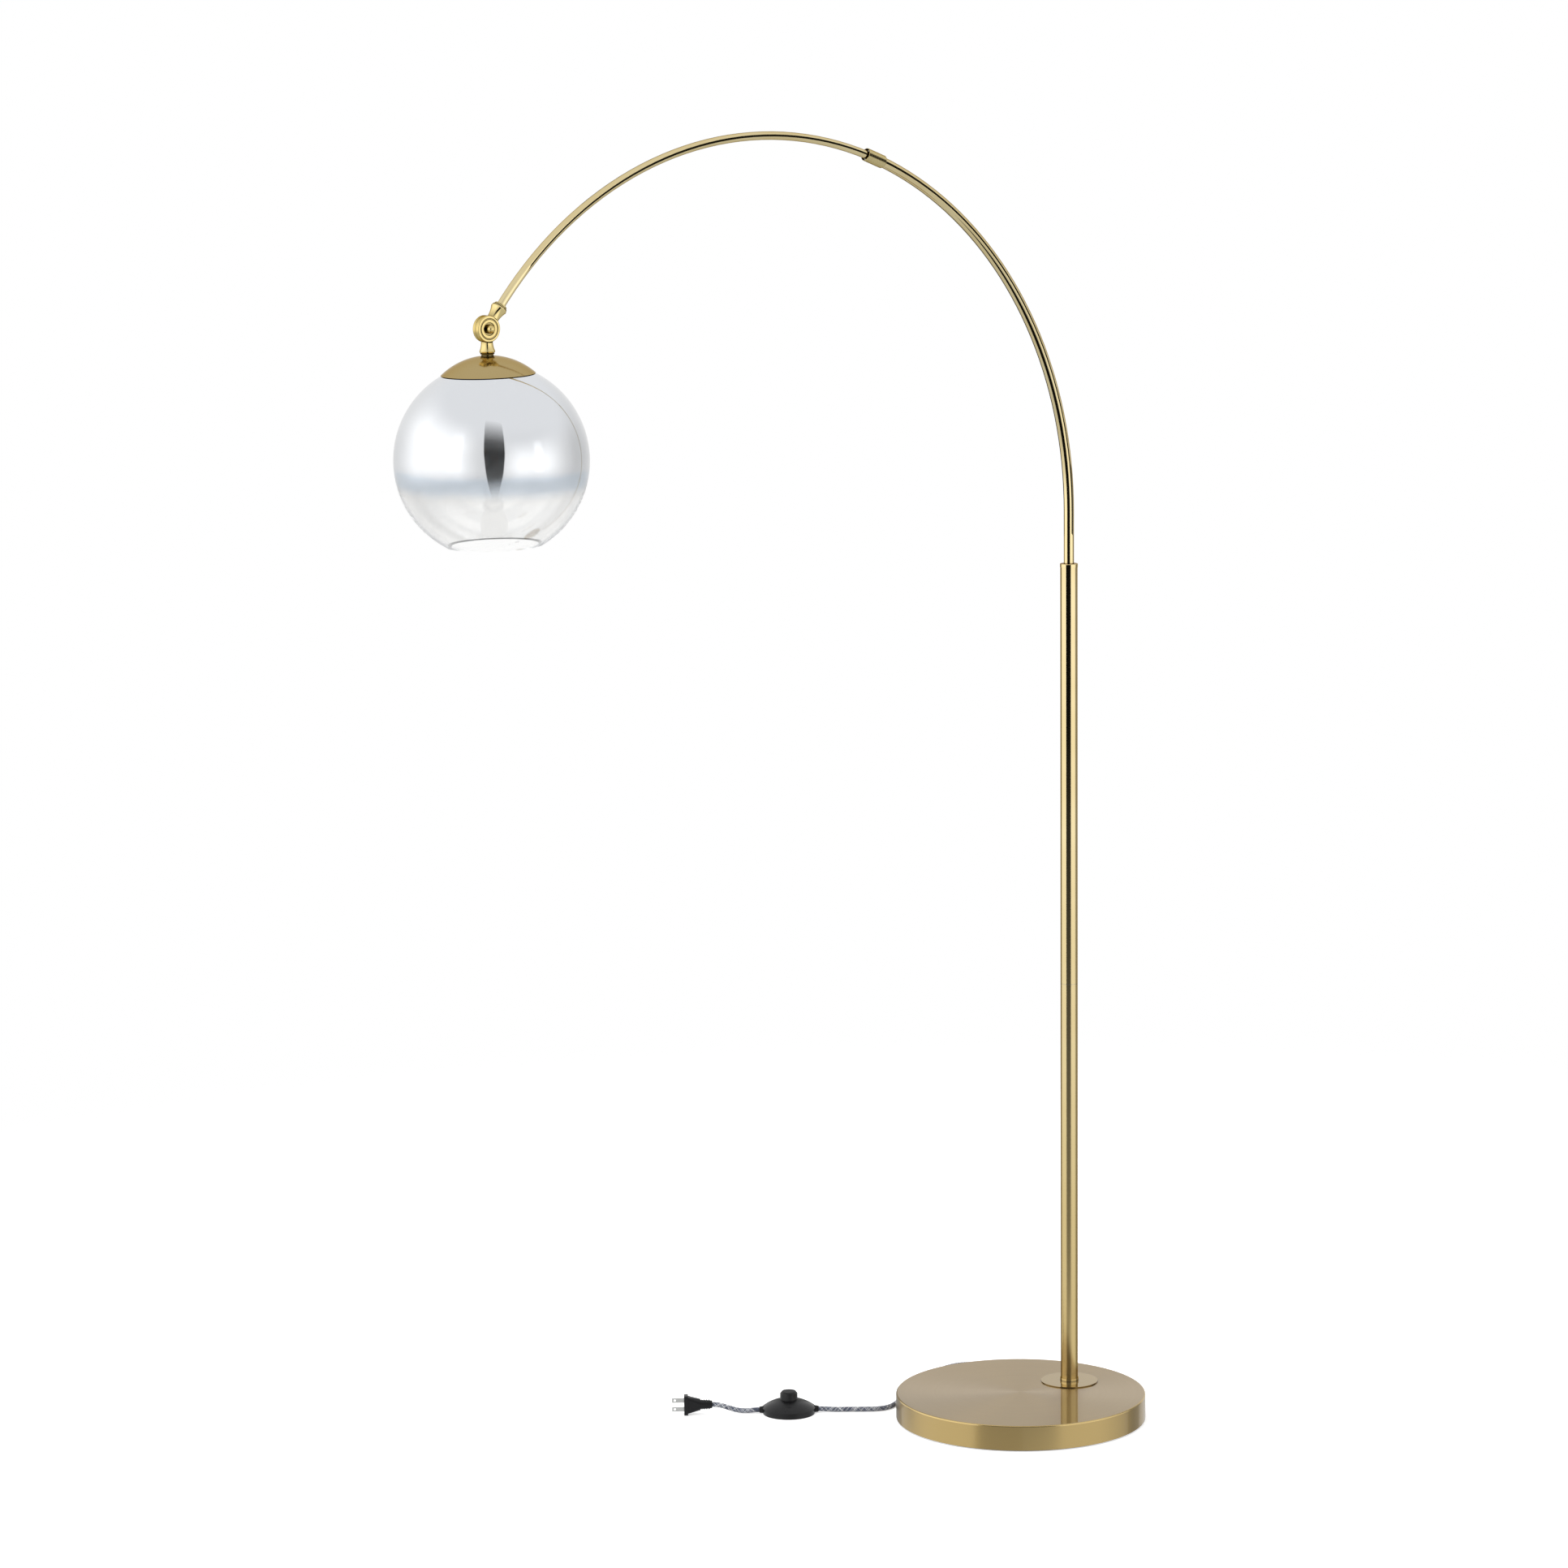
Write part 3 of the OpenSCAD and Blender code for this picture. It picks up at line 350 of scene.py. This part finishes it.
def brass(name, colour, deeper, roughness, spread, fall=None, shut=(0.25, 0.75)):
    """Lacquered brass: a little unevenness of tone and of sheen, and painted shade where it is shut in. A
    fall gives two heights, how much rougher it is at the lower one, and the darker colour it has there, which
    is painted shade."""
    n = Finish(name, Metallic=1.0, Specular_Tint=EDGE_TINT)
    place, *_, z = n.place()
    cloud = n.noise(place, 9.0, 3.0)
    fine = n.noise(place, 700.0, 2.0)
    base = n.mix(n.span(cloud, 0.35, 0.7), linear(colour), linear(deeper))
    # Painted shade where other pieces shut the brass in
    base = n.mix(n.span(unshaded_part(n, PAINTED_SHADE_REACH), *shut), linear(PAINTED_SHADE), base)
    rough = n.span(cloud, 0.3, 0.7, roughness - spread, roughness + spread)
    rough = n.math("ADD", rough, n.span(fine, 0.3, 0.7, -0.3 * spread, 0.3 * spread))
    # Towards the foot it turns rougher, and darker in painted shade
    if fall:
        low, high, extra, foot = fall
        rough = n.math("ADD", rough, n.span(z, low, high, extra, 0.0, True))
        base = n.mix(n.span(z, low, 0.7 * high), linear(foot), base)
    return n.shade(Base_Color=base, Roughness=rough, Normal=n.bump(fine, 0.00002, 0.01))


def spun_brass(name, centre, top, side, roughness, turned, tint, rim_highlight=0.7, lacquer=0.0):
    """Satin brass spun on a lathe: rings of brushing round its own axis, one colour on top and one on the
    wall as painted light and shade of the two faces, a painted highlight in gold on its curved rims, painted
    shade where it is shut in, and lacquered."""
    n = Finish(name, Metallic=1.0, Anisotropic=turned, Anisotropic_Rotation=0.25, Specular_Tint=tint,
               Coat_Weight=lacquer, Coat_Roughness=LACQUER_ROUGHNESS)
    place, x, y, z = n.place()
    dx, dy = n.math("SUBTRACT", x, centre[0]), n.math("SUBTRACT", y, centre[1])
    reach = n.math("SQRT", n.math("ADD", n.math("MULTIPLY", dx, dx), n.math("MULTIPLY", dy, dy)))
    rings_at = n.add("CombineXYZ", i0=reach, i1=z).outputs[0]
    rings = n.noise(rings_at, RING_SCALE, 2.0, 0.6)
    broad = n.noise(rings_at, BROAD_RING_SCALE, 2.0)
    grain = n.noise(place, 900.0, 2.0)
    normal_z = n.add("SeparateXYZ", i0=n.add("NewGeometry").outputs["Normal"]).outputs[2]
    # The top and the wall get colours of their own: painted light and shade of each face
    face_light_share = n.span(normal_z, 0.35, 0.9, 0.0, 1.0, True)
    base = n.mix(face_light_share, linear(side), linear(top))
    cloud = n.noise(place, 7.0, 2.0)
    base = n.mix(n.span(cloud, 0.3, 0.7, 0.0, 0.15), base, linear(side))
    # A painted highlight in gold on the rims, which are also glossier
    rim_highlight_mask = n.math("MULTIPLY", n.span(normal_z, 0.06, 0.25), n.span(normal_z, 0.985, 0.9))
    base = n.mix(n.math("MULTIPLY", rim_highlight_mask, rim_highlight), base, linear(RIM_HIGHLIGHT_GOLD))
    # Painted shade where other pieces shut it in
    base = n.mix(n.span(unshaded_part(n, PAINTED_SHADE_REACH_SATIN), 0.4, 0.8), linear(PAINTED_SHADE_SATIN), base)
    rough = n.math("ADD", n.span(rings, 0.25, 0.75, roughness - 0.012, roughness + 0.012),
                   n.span(broad, 0.3, 0.7, -0.006, 0.006))
    rough = n.math("SUBTRACT", rough, n.math("MULTIPLY", rim_highlight_mask, roughness * 0.35))
    tangent = n.add("Tangent", {"direction_type": "RADIAL", "axis": "Z"}).outputs[0]
    lines = n.bump(rings, 0.00002, 0.06)
    return n.shade(Base_Color=base, Roughness=rough, Tangent=tangent,
                   Normal=n.bump(grain, 0.00001, 0.1, lines))


# The silver's gloss, its colour from where it ends to where it is full, the least share it has even where
# the glass looks clear, and the shares it grows from and to over a height below the cap
SILVER_ROUGHNESS = 0.05
SILVER_TINTS = [(0.0, (0.93, 0.91, 0.88)), (0.25, (0.90, 0.885, 0.86)), (0.6, (0.74, 0.80, 0.86)),
                (0.92, (0.77, 0.825, 0.88)), (1.0, (0.85, 0.865, 0.885))]
LEAST_COAT = 0.09
FULL_COAT, FULL_COAT_RISE = (0.82, 0.975), (0.02, 0.06)


def silvered_glass(name, clear_low, clear_high):
    """Clear glass with a thin silver coat that fades out towards the mouth in a mist of small dots. The coat
    is thickest near the cap, and blue where it thins."""
    n = Finish(name, Base_Color=(0.985, 0.985, 0.98, 1), Roughness=0.0, IOR=1.5, Transmission_Weight=1.0)
    place, *_, z = n.place()
    wave = n.noise(place, 14.0, 2.0)
    mist = n.noise(place, 1400.0, 2.0, 0.6)
    height = n.math("ADD", z, n.span(wave, 0.3, 0.7, -0.002, 0.002))
    coat = n.span(height, clear_low, clear_high, 0.0, 1.0, True)
    dots = n.math("MULTIPLY", n.span(mist, 0.3, 0.7, -0.12, 0.12), n.math("PINGPONG", coat, 0.5))
    coat = n.math("ADD", coat, dots, clamp=True)
    ripple = n.bump(n.noise(place, 18.0, 1.0), 0.0002, 0.12)
    silver = n.add("BsdfPrincipled", i0=n.ramp(coat, SILVER_TINTS), Metallic=1.0, Normal=ripple)
    silver.inputs["Roughness"].default_value = SILVER_ROUGHNESS
    n.shade(Normal=ripple)
    thick = n.span(z, clear_high + FULL_COAT_RISE[0], clear_high + FULL_COAT_RISE[1], *FULL_COAT, True)
    share = n.math("MAXIMUM", n.math("MULTIPLY", coat, thick), LEAST_COAT)
    return n.surface(n.add("MixShader", i0=share, i1=n.shader.outputs[0], i2=silver.outputs[0]))


def clear_glass(name):
    """The bulb's glass, a little wavy."""
    n = Finish(name, Roughness=0.0, IOR=1.46, Transmission_Weight=1.0)
    place = n.place()[0]
    tint = n.mix(n.noise(place, 60.0), (0.99, 0.99, 0.985, 1), (0.965, 0.97, 0.965, 1))
    return n.shade(Base_Color=tint, Normal=n.bump(n.noise(place, 45.0, 1.0), 0.0003, 0.2))


def moulded(name, colour, paler, roughness, grain_scale=900.0, grain=0.35, coat=0.0, gloss=0.5):
    """Moulded plastic or rubber with a fine spark grain and a few rubbed patches."""
    n = Finish(name, Coat_Weight=coat, Coat_Roughness=0.12, Specular_IOR_Level=gloss)
    place = n.place()[0]
    cloud = n.noise(place, 35.0, 3.0)
    fine = n.noise(place, grain_scale, 3.0, 0.6)
    base = n.mix(n.span(cloud, 0.35, 0.75), linear(colour), linear(paler))
    rough = n.math("ADD", n.span(cloud, 0.3, 0.7, roughness - 0.05, roughness + 0.07),
                   n.span(fine, 0.3, 0.7, -0.04, 0.04))
    return n.shade(Base_Color=base, Roughness=rough, Normal=n.bump(fine, 0.00004, grain))


# Yarns each way round the cord, how far along one goes in a turn, and the yarns' colours, each from the
# share of them that the others before it make up
CARRIERS, BRAID_PITCH = 14.0, 0.0215
YARNS = [(0.0, "323a50"), (0.30, "e2e3e6"), (0.52, "565f74"), (0.68, "a9adb6"), (0.84, "2b3348")]
YARN_GAP, YARN_FLUFF = "141926", "b4b7be"


def braid(name):
    """A tubular braid of navy, grey and white yarns, crossing at a slant: u runs along it, v round it."""
    n = Finish(name, Roughness=0.8, Sheen_Weight=0.35, Sheen_Roughness=0.4)
    uv = n.add("SeparateXYZ", i0=n.add("UVMap", {"uv_map": "along"}).outputs[0]).outputs
    round_part = n.math("MULTIPLY", uv[1], CARRIERS)
    along_part = n.math("MULTIPLY", uv[0], CARRIERS / BRAID_PITCH)
    left = n.math("ADD", round_part, along_part)
    right = n.math("SUBTRACT", round_part, along_part)

    def yarn(value, shift):
        """How high a yarn stands, and a random number of its own."""
        ridge = n.math("PINGPONG", value, 0.5)
        number = n.math("ADD", n.math("FLOOR", value), shift)
        kind = n.add("TexWhiteNoise", {"noise_dimensions": "1D"}, W=number).outputs[0]
        return n.span(ridge, 0.0, 0.5), kind

    left_ridge, left_kind = yarn(left, 0.5)
    right_ridge, right_kind = yarn(right, 1000.5)
    over = n.math("MODULO", n.math("ADD", n.math("FLOOR", left), n.math("FLOOR", right)), 2.0)
    over = n.math("GREATER_THAN", n.math("ABSOLUTE", over), 0.5)
    stops = [(share, linear(colour)) for share, colour in YARNS]
    base = n.mix(over, n.ramp(left_kind, stops, "CONSTANT"), n.ramp(right_kind, stops, "CONSTANT"))
    height = n.add("Mix", i0=over)
    n.set(height.inputs[2], left_ridge)
    n.set(height.inputs[3], right_ridge)
    height = height.outputs[0]
    fuzz = n.noise(n.place()[0], 2500.0, 2.0)
    base = n.mix(n.span(height, 0.0, 0.4, 0.6, 0.0), base, linear(YARN_GAP))
    base = n.mix(n.span(fuzz, 0.4, 0.7, 0.0, 0.2), base, linear(YARN_FLUFF))
    return n.shade(Base_Color=base, Normal=n.bump(fuzz, 0.00006, 0.5, n.bump(height, 0.00045, 0.9)))


def woven(name, colour, paler, scale):
    """A woven or felted strap: crossing ribs with a little fluff."""
    n = Finish(name, Roughness=0.85, Sheen_Weight=0.3)
    place = n.place()[0]
    waves = [n.add("TexWave", {"bands_direction": axis}, Vector=place, Scale=scale, Distortion=1.5,
                   Detail=1.0).outputs["Fac"] for axis in ("X", "Z")]
    ribs = n.math("MULTIPLY", waves[0], waves[1])
    base = n.mix(ribs, linear(colour), linear(paler))
    return n.shade(Base_Color=base, Normal=n.bump(ribs, 0.0003, 0.7))


def metal(name, colour, deeper, roughness):
    """Plain hardware metal, with rolling lines and stains."""
    n = Finish(name, Metallic=1.0)
    place = n.place()[0]
    lines = n.noise(place, 400.0, 2.0, 0.5, (1, 1, 8))
    cloud = n.noise(place, 40.0, 3.0)
    base = n.mix(n.span(cloud, 0.3, 0.75), linear(colour), linear(deeper))
    return n.shade(Base_Color=base, Roughness=n.span(lines, 0.3, 0.7, roughness - 0.06, roughness + 0.1),
                   Normal=n.bump(lines, 0.00002, 0.4))


make_camera()
BRAID = braid("cord_braid")

# ---------- cords ----------

base_line = spline([lie(*p) for p in BASE_ROUTE[:-1] + hank_points() + SWITCH_ROUTE[1:]], POINT_STEP)
cord_to_switch = tube("cord_to_switch", base_line, CORD_D / 2 * MM, BRAID, "stand")
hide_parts("cord_base_run", "cord_hank", "cord_switch_run")
plug_line = spline([lie(*p) for p in PLUG_ROUTE], POINT_STEP)
cord_to_plug = tube("cord_to_plug", plug_line, CORD_D / 2 * MM, BRAID, "stand")
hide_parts("cord_plug_run")

# ---------- finishes of the carried-over pieces ----------

GLOBE_CENTRE = Vector((-869.8, 0, 1403.2)) * MM
# How far below the globe's centre the silver starts to fade, and how far below it ends
SILVER_FULL, SILVER_END = 0.004, 0.060
POLE_AT = Vector((90, 0, 0)) * MM
SWITCH_SOFT_ANGLE = 50

finishes = {
    "felt": woven("felt", "1a1a1c", "2b2b2e", 220.0),
    "plate_steel": metal("plate_steel", "c3c6c9", "a7abb0", 0.35),
    "iron": moulded("iron", "2a2a2c", "3a3a3c", 0.6, 300.0, 0.9),
    # The pole darkens in painted shade towards its foot
    "pole_brass": brass("pole_brass", "e4d2a4", "dcc896", 0.055, 0.008, (0.1, 1.15, 0.16, "cdb67f")),
    "polished_brass": brass("polished_brass", "e9d8a8", "e0cb96", 0.05, 0.008),
    "nylon": moulded("nylon", "e6e0d2", "d8d0bd", 0.4),
    "globe_glass": silvered_glass("globe_glass", GLOBE_CENTRE.z - SILVER_END, GLOBE_CENTRE.z - SILVER_FULL),
    "socket_black": moulded("socket_black", "161617", "222224", 0.25, coat=0.4),
    "socket_white": moulded("socket_white", "ece9e2", "ddd8cc", 0.2, coat=0.5),
    "contact_brass": metal("contact_brass", "e0be7c", "c9a35e", 0.25),
    "bulb_cap": metal("bulb_cap", "d9d8d3", "bdbcb6", 0.25),
    "bulb_clear": clear_glass("bulb_clear"),
    "filament": metal("filament", "c98f3c", "a8702a", 0.5),
    "rubber_black": moulded("rubber_black", "0c0c0d", "161618", 0.5, 500.0, 0.6, 0.0, 0.36),
    "lead_jacket": moulded("lead_jacket", "161617", "232325", 0.45),
    "cord_braid": BRAID,
    "switch_black": moulded("switch_black", "070708", "0f0f10", 0.26, 1600.0, 0.12, 0.0, 0.36),
    "plug_black": moulded("plug_black", "08080a", "111113", 0.34, 1200.0, 0.25, 0.0, 0.36),
    "blade_steel": metal("blade_steel", "dfdfdc", "c4c4c0", 0.2),
    "mechanism_brown": moulded("mechanism_brown", "5c4a3a", "6d5946", 0.5),
}
# Each spun piece gets a top colour and a wall colour, painted light and shade of its two faces
base_satin = spun_brass("base_satin_brass", (0.0, 0.0), "a58a55", "bfa468", 0.36, 0.88,
                        (0.92, 0.88, 0.82, 1), lacquer=0.75)
cap_satin = spun_brass("cap_satin_brass", (GLOBE_CENTRE.x, GLOBE_CENTRE.y), "bda878", "b59d66", 0.2, 0.3,
                       (0.78, 0.68, 0.52, 1), rim_highlight=0.0)
flange_satin = spun_brass("flange_satin_brass", (POLE_AT.x, POLE_AT.y), "a68f58", "c9aa66", 0.12, 0.3,
                          (0.90, 0.84, 0.74, 1), lacquer=0.75)
collar_satin = brass("collar_satin_brass", "dccb98", "cdb97c", 0.27, 0.02)
# The knuckle's grooves take more of the painted shade
knuckle_brass = brass("knuckle_brass", "e6d296", "d8bf78", 0.06, 0.01, shut=(0.42, 0.97))
# Pieces with a finish of their own, in place of the one of their slot
finish_of = {"base_cover": base_satin, "shade_cap": cap_satin, "pole_flange": flange_satin,
             "arm_collar": collar_satin, "knuckle_upper": knuckle_brass, "knuckle_lower": knuckle_brass,
             "knuckle_screw": knuckle_brass, "knuckle_nut": knuckle_brass}


def soften(obj, angle):
    """Rounds the shading over every edge flatter than an angle, without moving anything."""
    mesh = obj.data
    corners = {}
    for face in mesh.polygons:
        for loop in face.loop_indices:
            at = tuple(round(c, 6) for c in mesh.vertices[mesh.loops[loop].vertex_index].co)
            corners.setdefault(at, []).append((loop, face.normal.copy(), face.area))
    normals, least = [None] * len(mesh.loops), math.cos(math.radians(angle))
    for around in corners.values():
        for loop, normal, _ in around:
            shared = [other * area for _, other, area in around if normal.dot(other) > least]
            normals[loop] = sum(shared, Vector()).normalized()
    mesh.polygons.foreach_set("use_smooth", [True] * len(mesh.polygons))
    mesh.normals_split_custom_set(normals)


for name in ("switch_cover", "switch_button", "switch_base"):
    soften(NODES[name], SWITCH_SOFT_ANGLE)
for part in frame["record"]["subparts"]:
    name = part["node"]
    NODES[name].data.materials.clear()
    NODES[name].data.materials.append(finish_of.get(name) or finishes[part["material_slot"]])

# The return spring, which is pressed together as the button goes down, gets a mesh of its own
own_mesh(NODES["switch_spring"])

# ---------- floor, lights and world ----------

# The radii of the floor's rings and how many sides they have, how far under the lamp it is, its two greys,
# the glow that brings it to the backdrop's white, and from where to where it fades away
FLOOR_RINGS, FLOOR_SIDES = (1.0, 2.7), 96
FLOOR_DROP = 0.0003
FLOOR_GREYS = (0.80, 0.80, 0.80, 1), (0.79, 0.79, 0.79, 1)
FLOOR_GLOW = 0.5
FLOOR_FADE = (1.3, 2.6)
WHITE = (1, 1, 1, 1)


def make_floor():
    """A large pale disc. Seen directly it is as white as the backdrop, and it keeps the lamp's shadow."""
    turns = [2 * math.pi * k / FLOOR_SIDES for k in range(FLOOR_SIDES)]
    vertices = [(0.0, 0.0, 0.0)]
    vertices += [(r * math.cos(turn), r * math.sin(turn), 0.0) for r in FLOOR_RINGS for turn in turns]
    faces = []
    for k in range(FLOOR_SIDES):
        inner, inner_next = 1 + k, 1 + (k + 1) % FLOOR_SIDES
        faces += [(0, inner, inner_next),
                  (inner, inner + FLOOR_SIDES, inner_next + FLOOR_SIDES, inner_next)]
    mesh = bpy.data.meshes.new("floor")
    mesh.from_pydata(vertices, [], faces)
    floor = bpy.data.objects.new("floor", mesh)
    scene.collection.objects.link(floor)
    floor.location.z = cad_low.z - FLOOR_DROP
    floor.visible_glossy = False
    n = Finish("floor", Roughness=0.9)
    place = n.place()[0]
    n.shade(Base_Color=n.mix(n.span(n.noise(place, 3.0, 2.0), 0.3, 0.7), *FLOOR_GREYS))
    paths = n.add("LightPath").outputs
    seen = n.math("ADD", paths["Is Camera Ray"], paths["Is Transmission Ray"], clamp=True)
    glow = n.add("Emission", Color=WHITE, Strength=n.math("MULTIPLY", seen, FLOOR_GLOW))
    both = n.add("AddShader", i0=n.shader.outputs[0], i1=glow.outputs[0])
    reach = n.add("VectorMath", {"operation": "LENGTH"}, i0=place).outputs["Value"]
    faded = n.add("MixShader", i0=n.span(reach, *FLOOR_FADE, 0.0, 1.0, True), i1=both.outputs[0],
                  i2=n.add("BsdfTransparent").outputs[0])
    mesh.materials.append(n.surface(faded))


# What gloss sees of the studio's walls, by angle from the camera's side, as shares of WALL_GAIN
WALLS = [(-180, 0.62), (-150, 0.58), (-122, 0.70), (-95, 1.02), (-62, 1.28), (-40, 1.15), (-24, 0.80),
         (-8, 0.60), (12, 0.62), (30, 0.86), (50, 1.20), (74, 1.05), (98, 0.66), (124, 0.44), (150, 0.53),
         (180, 0.62)]
WALL_GAIN = 1.4
# The greys overhead and underfoot, and the heights of the view over which the walls turn into them
OVERHEAD = (0.61, 0.615, 0.625, 1)
OVERHEAD_FROM = (0.32, 0.82)
UNDERFOOT = (0.46, 0.475, 0.495, 1)
UNDERFOOT_FROM = (-0.46, -0.04)
# How much lower the walls end, by the same angle: those on the right end lowest
LOWER = [(-180, 0.1), (-130, 0.0), (-20, 0.0), (20, 0.34), (110, 0.30), (180, 0.1)]
# What lights the lamp's matt pieces from all round
FILL = (0.62, 0.62, 0.62, 1)


def make_world():
    """White all round. Gloss sees a studio instead: pale walls with darker gaps, and grey over and under."""
    world = bpy.data.worlds.new("studio")
    scene.world = world
    world.use_nodes = True
    n = Nodes(world.node_tree)
    background = n.tree.nodes["Background"]
    direction = n.add("TexCoord").outputs["Generated"]
    parts = n.add("SeparateXYZ", i0=direction).outputs
    towards = math.atan2(CAMERA_AT[1], CAMERA_AT[0]) / (2 * math.pi)
    turn = n.math("DIVIDE", n.math("ARCTAN2", parts[1], parts[0]), 2 * math.pi)
    share = n.math("FRACT", n.math("ADD", turn, 0.5 - towards))
    level, lower = (n.ramp(share, [(0.5 + angle / 360, (value,) * 3) for angle, value in stops], "B_SPLINE")
                    for stops in (WALLS, LOWER))
    level = n.mix(n.span(n.math("ADD", parts[2], lower), *OVERHEAD_FROM, 0.0, 1.0, True), level, OVERHEAD)
    level = n.mix(n.span(parts[2], *UNDERFOOT_FROM, 0.0, 1.0, True), UNDERFOOT, level)
    walls = n.add("Mix", {"data_type": "RGBA", "blend_type": "MULTIPLY"},
                  i0=1.0, i6=level, i7=(WALL_GAIN,) * 3 + (1,)).outputs[2]
    paths = n.add("LightPath").outputs
    direct = n.math("ADD", paths["Is Camera Ray"], paths["Is Transmission Ray"], clamp=True)
    lit = n.mix(paths["Is Glossy Ray"], FILL, walls)
    n.set(background.inputs["Color"], n.mix(direct, lit, WHITE))
    background.inputs["Strength"].default_value = 1.0


def area_light(name, at, target, size, power, tint=(1, 1, 1)):
    """A soft box that faces its target, and that gloss doesn't see."""
    data = bpy.data.lights.new(name, "AREA")
    data.shape = "RECTANGLE"
    data.size, data.size_y = size
    data.energy = power
    data.color = tint
    light = bpy.data.objects.new(name, data)
    light.location = at
    light.rotation_mode = "QUATERNION"
    light.rotation_quaternion = (Vector(target) - Vector(at)).to_track_quat("-Z", "Y")
    light.visible_glossy = False
    scene.collection.objects.link(light)


def studio_card(name, vertices, faces):
    """A surface that only gloss sees, and its finish."""
    mesh = bpy.data.meshes.new(name)
    mesh.from_pydata(vertices, [], faces)
    card = bpy.data.objects.new(name, mesh)
    scene.collection.objects.link(card)
    for ray in ("camera", "diffuse", "transmission", "volume_scatter", "shadow"):
        setattr(card, "visible_" + ray, False)
    n = Finish(name)
    mesh.materials.append(n.material)
    return card, n


def card_paint(n, grey, cover):
    """An even grey that hides what is behind it by as much as the cover says."""
    paint, clear = n.add("Emission", Color=grey), n.add("BsdfTransparent")
    n.surface(n.add("MixShader", i0=cover, i1=clear.outputs[0], i2=paint.outputs[0]))


# Where round the pole its two side flags stand, and how far out
SIDE_FLAG_TURNS, SIDE_FLAG_OUT = (math.radians(101), math.radians(341)), 0.5
# How near gloss has to be to see a flag: one that only the pole and the base may see, and one that all may
NEAR_REACH, ANY_REACH = 0.85, 10.0


def flag(name, at, outline, shades, within=ANY_REACH):
    """An upright flag that only gloss near enough sees, from in front. Each row of its outline gives a height
    over the floor and how far it reaches to either side; each row of its shades gives a height, a grey and
    how much that covers."""
    low = cad_low.z
    across = Vector((-at[1], at[0], 0)).normalized()
    foot = Vector((at[0], at[1], low))
    vertices = [foot + across * reach + Vector((0, 0, row[0])) for row in outline for reach in row[1:]]
    faces = [(2 * i, 2 * i + 2, 2 * i + 3, 2 * i + 1) for i in range(len(outline) - 1)]
    card, n = studio_card(name, vertices, faces)
    bottom, top = shades[0][0], shades[-1][0]
    share = n.span(n.place()[3], bottom, top)
    grey, cover = (n.ramp(share, [((row[0] - bottom) / (top - bottom), (row[k],) * 3) for row in shades])
                   for k in (1, 2))
    near = n.math("LESS_THAN", n.add("LightPath").outputs["Ray Length"], within)
    front = n.math("MULTIPLY", near, n.math("SUBTRACT", 1.0, n.add("NewGeometry").outputs["Backfacing"]))
    card_paint(n, grey, n.math("MULTIPLY", cover, front))


# The arm's arc, and the ribbons beside it: the first angle and the step of their points, the angles between
# which they drift from one shift to the other, and their grey
ARC_CENTRE, ARC_R = (-438.12 * MM, 1269.38 * MM), 528.12 * MM
RIBBON_FIRST, RIBBON_STEP = -6, 4
RIBBON_DRIFT = (math.radians(85), math.radians(142))
RIBBON_GREY = (0.012, 0.012, 0.012, 1)


def arm_ribbon(name, foot_shift, tip_shift, last, half, within):
    """A dark ribbon that follows the arm's arc to a last angle, reaching half its width to either side, and
    that only gloss near enough sees. The shifts move it off the arc at the arm's foot and tip."""
    turns = [math.radians(a) for a in range(RIBBON_FIRST, last + 1, RIBBON_STEP)]
    vertices = []
    for a in turns:
        drift = smooth((a - RIBBON_DRIFT[0]) / (RIBBON_DRIFT[1] - RIBBON_DRIFT[0]))
        x, y, z = Vector(foot_shift).lerp(Vector(tip_shift), drift)
        vertices += [(ARC_CENTRE[0] + r * math.cos(a) + x, y, ARC_CENTRE[1] + r * math.sin(a) + z)
                     for r in (ARC_R - half, ARC_R + half)]
    faces = [(2 * i, 2 * i + 1, 2 * i + 3, 2 * i + 2) for i in range(len(turns) - 1)]
    ribbon, n = studio_card(name, vertices, faces)
    card_paint(n, RIBBON_GREY, n.math("LESS_THAN", n.add("LightPath").outputs["Ray Length"], within))


make_floor()
make_world()
arm_ribbon("ribbon_front", (0.085, -0.09, 0.010), (0.098, -0.09, 0.0), 138, 0.05, 0.165)
arm_ribbon("ribbon_back", (0.0, 0.09, 0.012), (0.0, 0.09, 0.012), 118, 0.036, 0.15)
flag("flag_far", (-1.92, -1.75),
     [(-0.6, -0.10, 0.10), (0.0, -0.18, 0.18), (0.6, -0.28, 0.28), (1.1, -0.36, 0.38),
      (1.9, -0.44, 0.48), (4.0, -0.46, 0.54)],
     [(-0.6, 0.30, 0.0), (0.0, 0.20, 0.2), (0.5, 0.08, 0.7), (0.9, 0.02, 0.97), (1.9, 0.008, 1.0),
      (2.4, 0.02, 0.9), (4.0, 0.2, 0.0)])
flag("flag_near", (-0.287, -0.328),
     [(-0.4, -0.30, 0.0), (-0.02, -0.30, 0.02), (0.02, -0.27, 0.25), (0.5, -0.30, 0.28), (1.3, -0.32, 0.30)],
     [(-0.4, 0.66, 1.0), (-0.02, 0.60, 1.0), (0.06, 0.30, 1.0), (0.4, 0.12, 1.0), (0.63, 0.05, 1.0),
      (0.9, 0.006, 1.0), (1.3, 0.006, 1.0)], NEAR_REACH)
for number, turn in enumerate(SIDE_FLAG_TURNS):
    at = (POLE_AT.x + SIDE_FLAG_OUT * math.cos(turn), SIDE_FLAG_OUT * math.sin(turn))
    flag("flag_side_%d" % number, at, [(-0.4, -0.12, 0.12), (1.3, -0.12, 0.12)],
         [(-0.4, 0.34, 0.9), (1.3, 0.22, 1.0)], NEAR_REACH)
area_light("key_left", (-3.9, -0.6, 2.2), (-0.3, 0, 0.9), (0.9, 2.4), 75, (1.0, 0.985, 0.96))
area_light("fill_right", (0.9, -3.9, 1.9), (-0.2, 0, 0.9), (0.8, 2.4), 45, (1.0, 0.99, 0.97))
area_light("top_soft", (-0.4, 0.4, 3.6), (-0.3, 0, 0.5), (2.4, 2.0), 60)
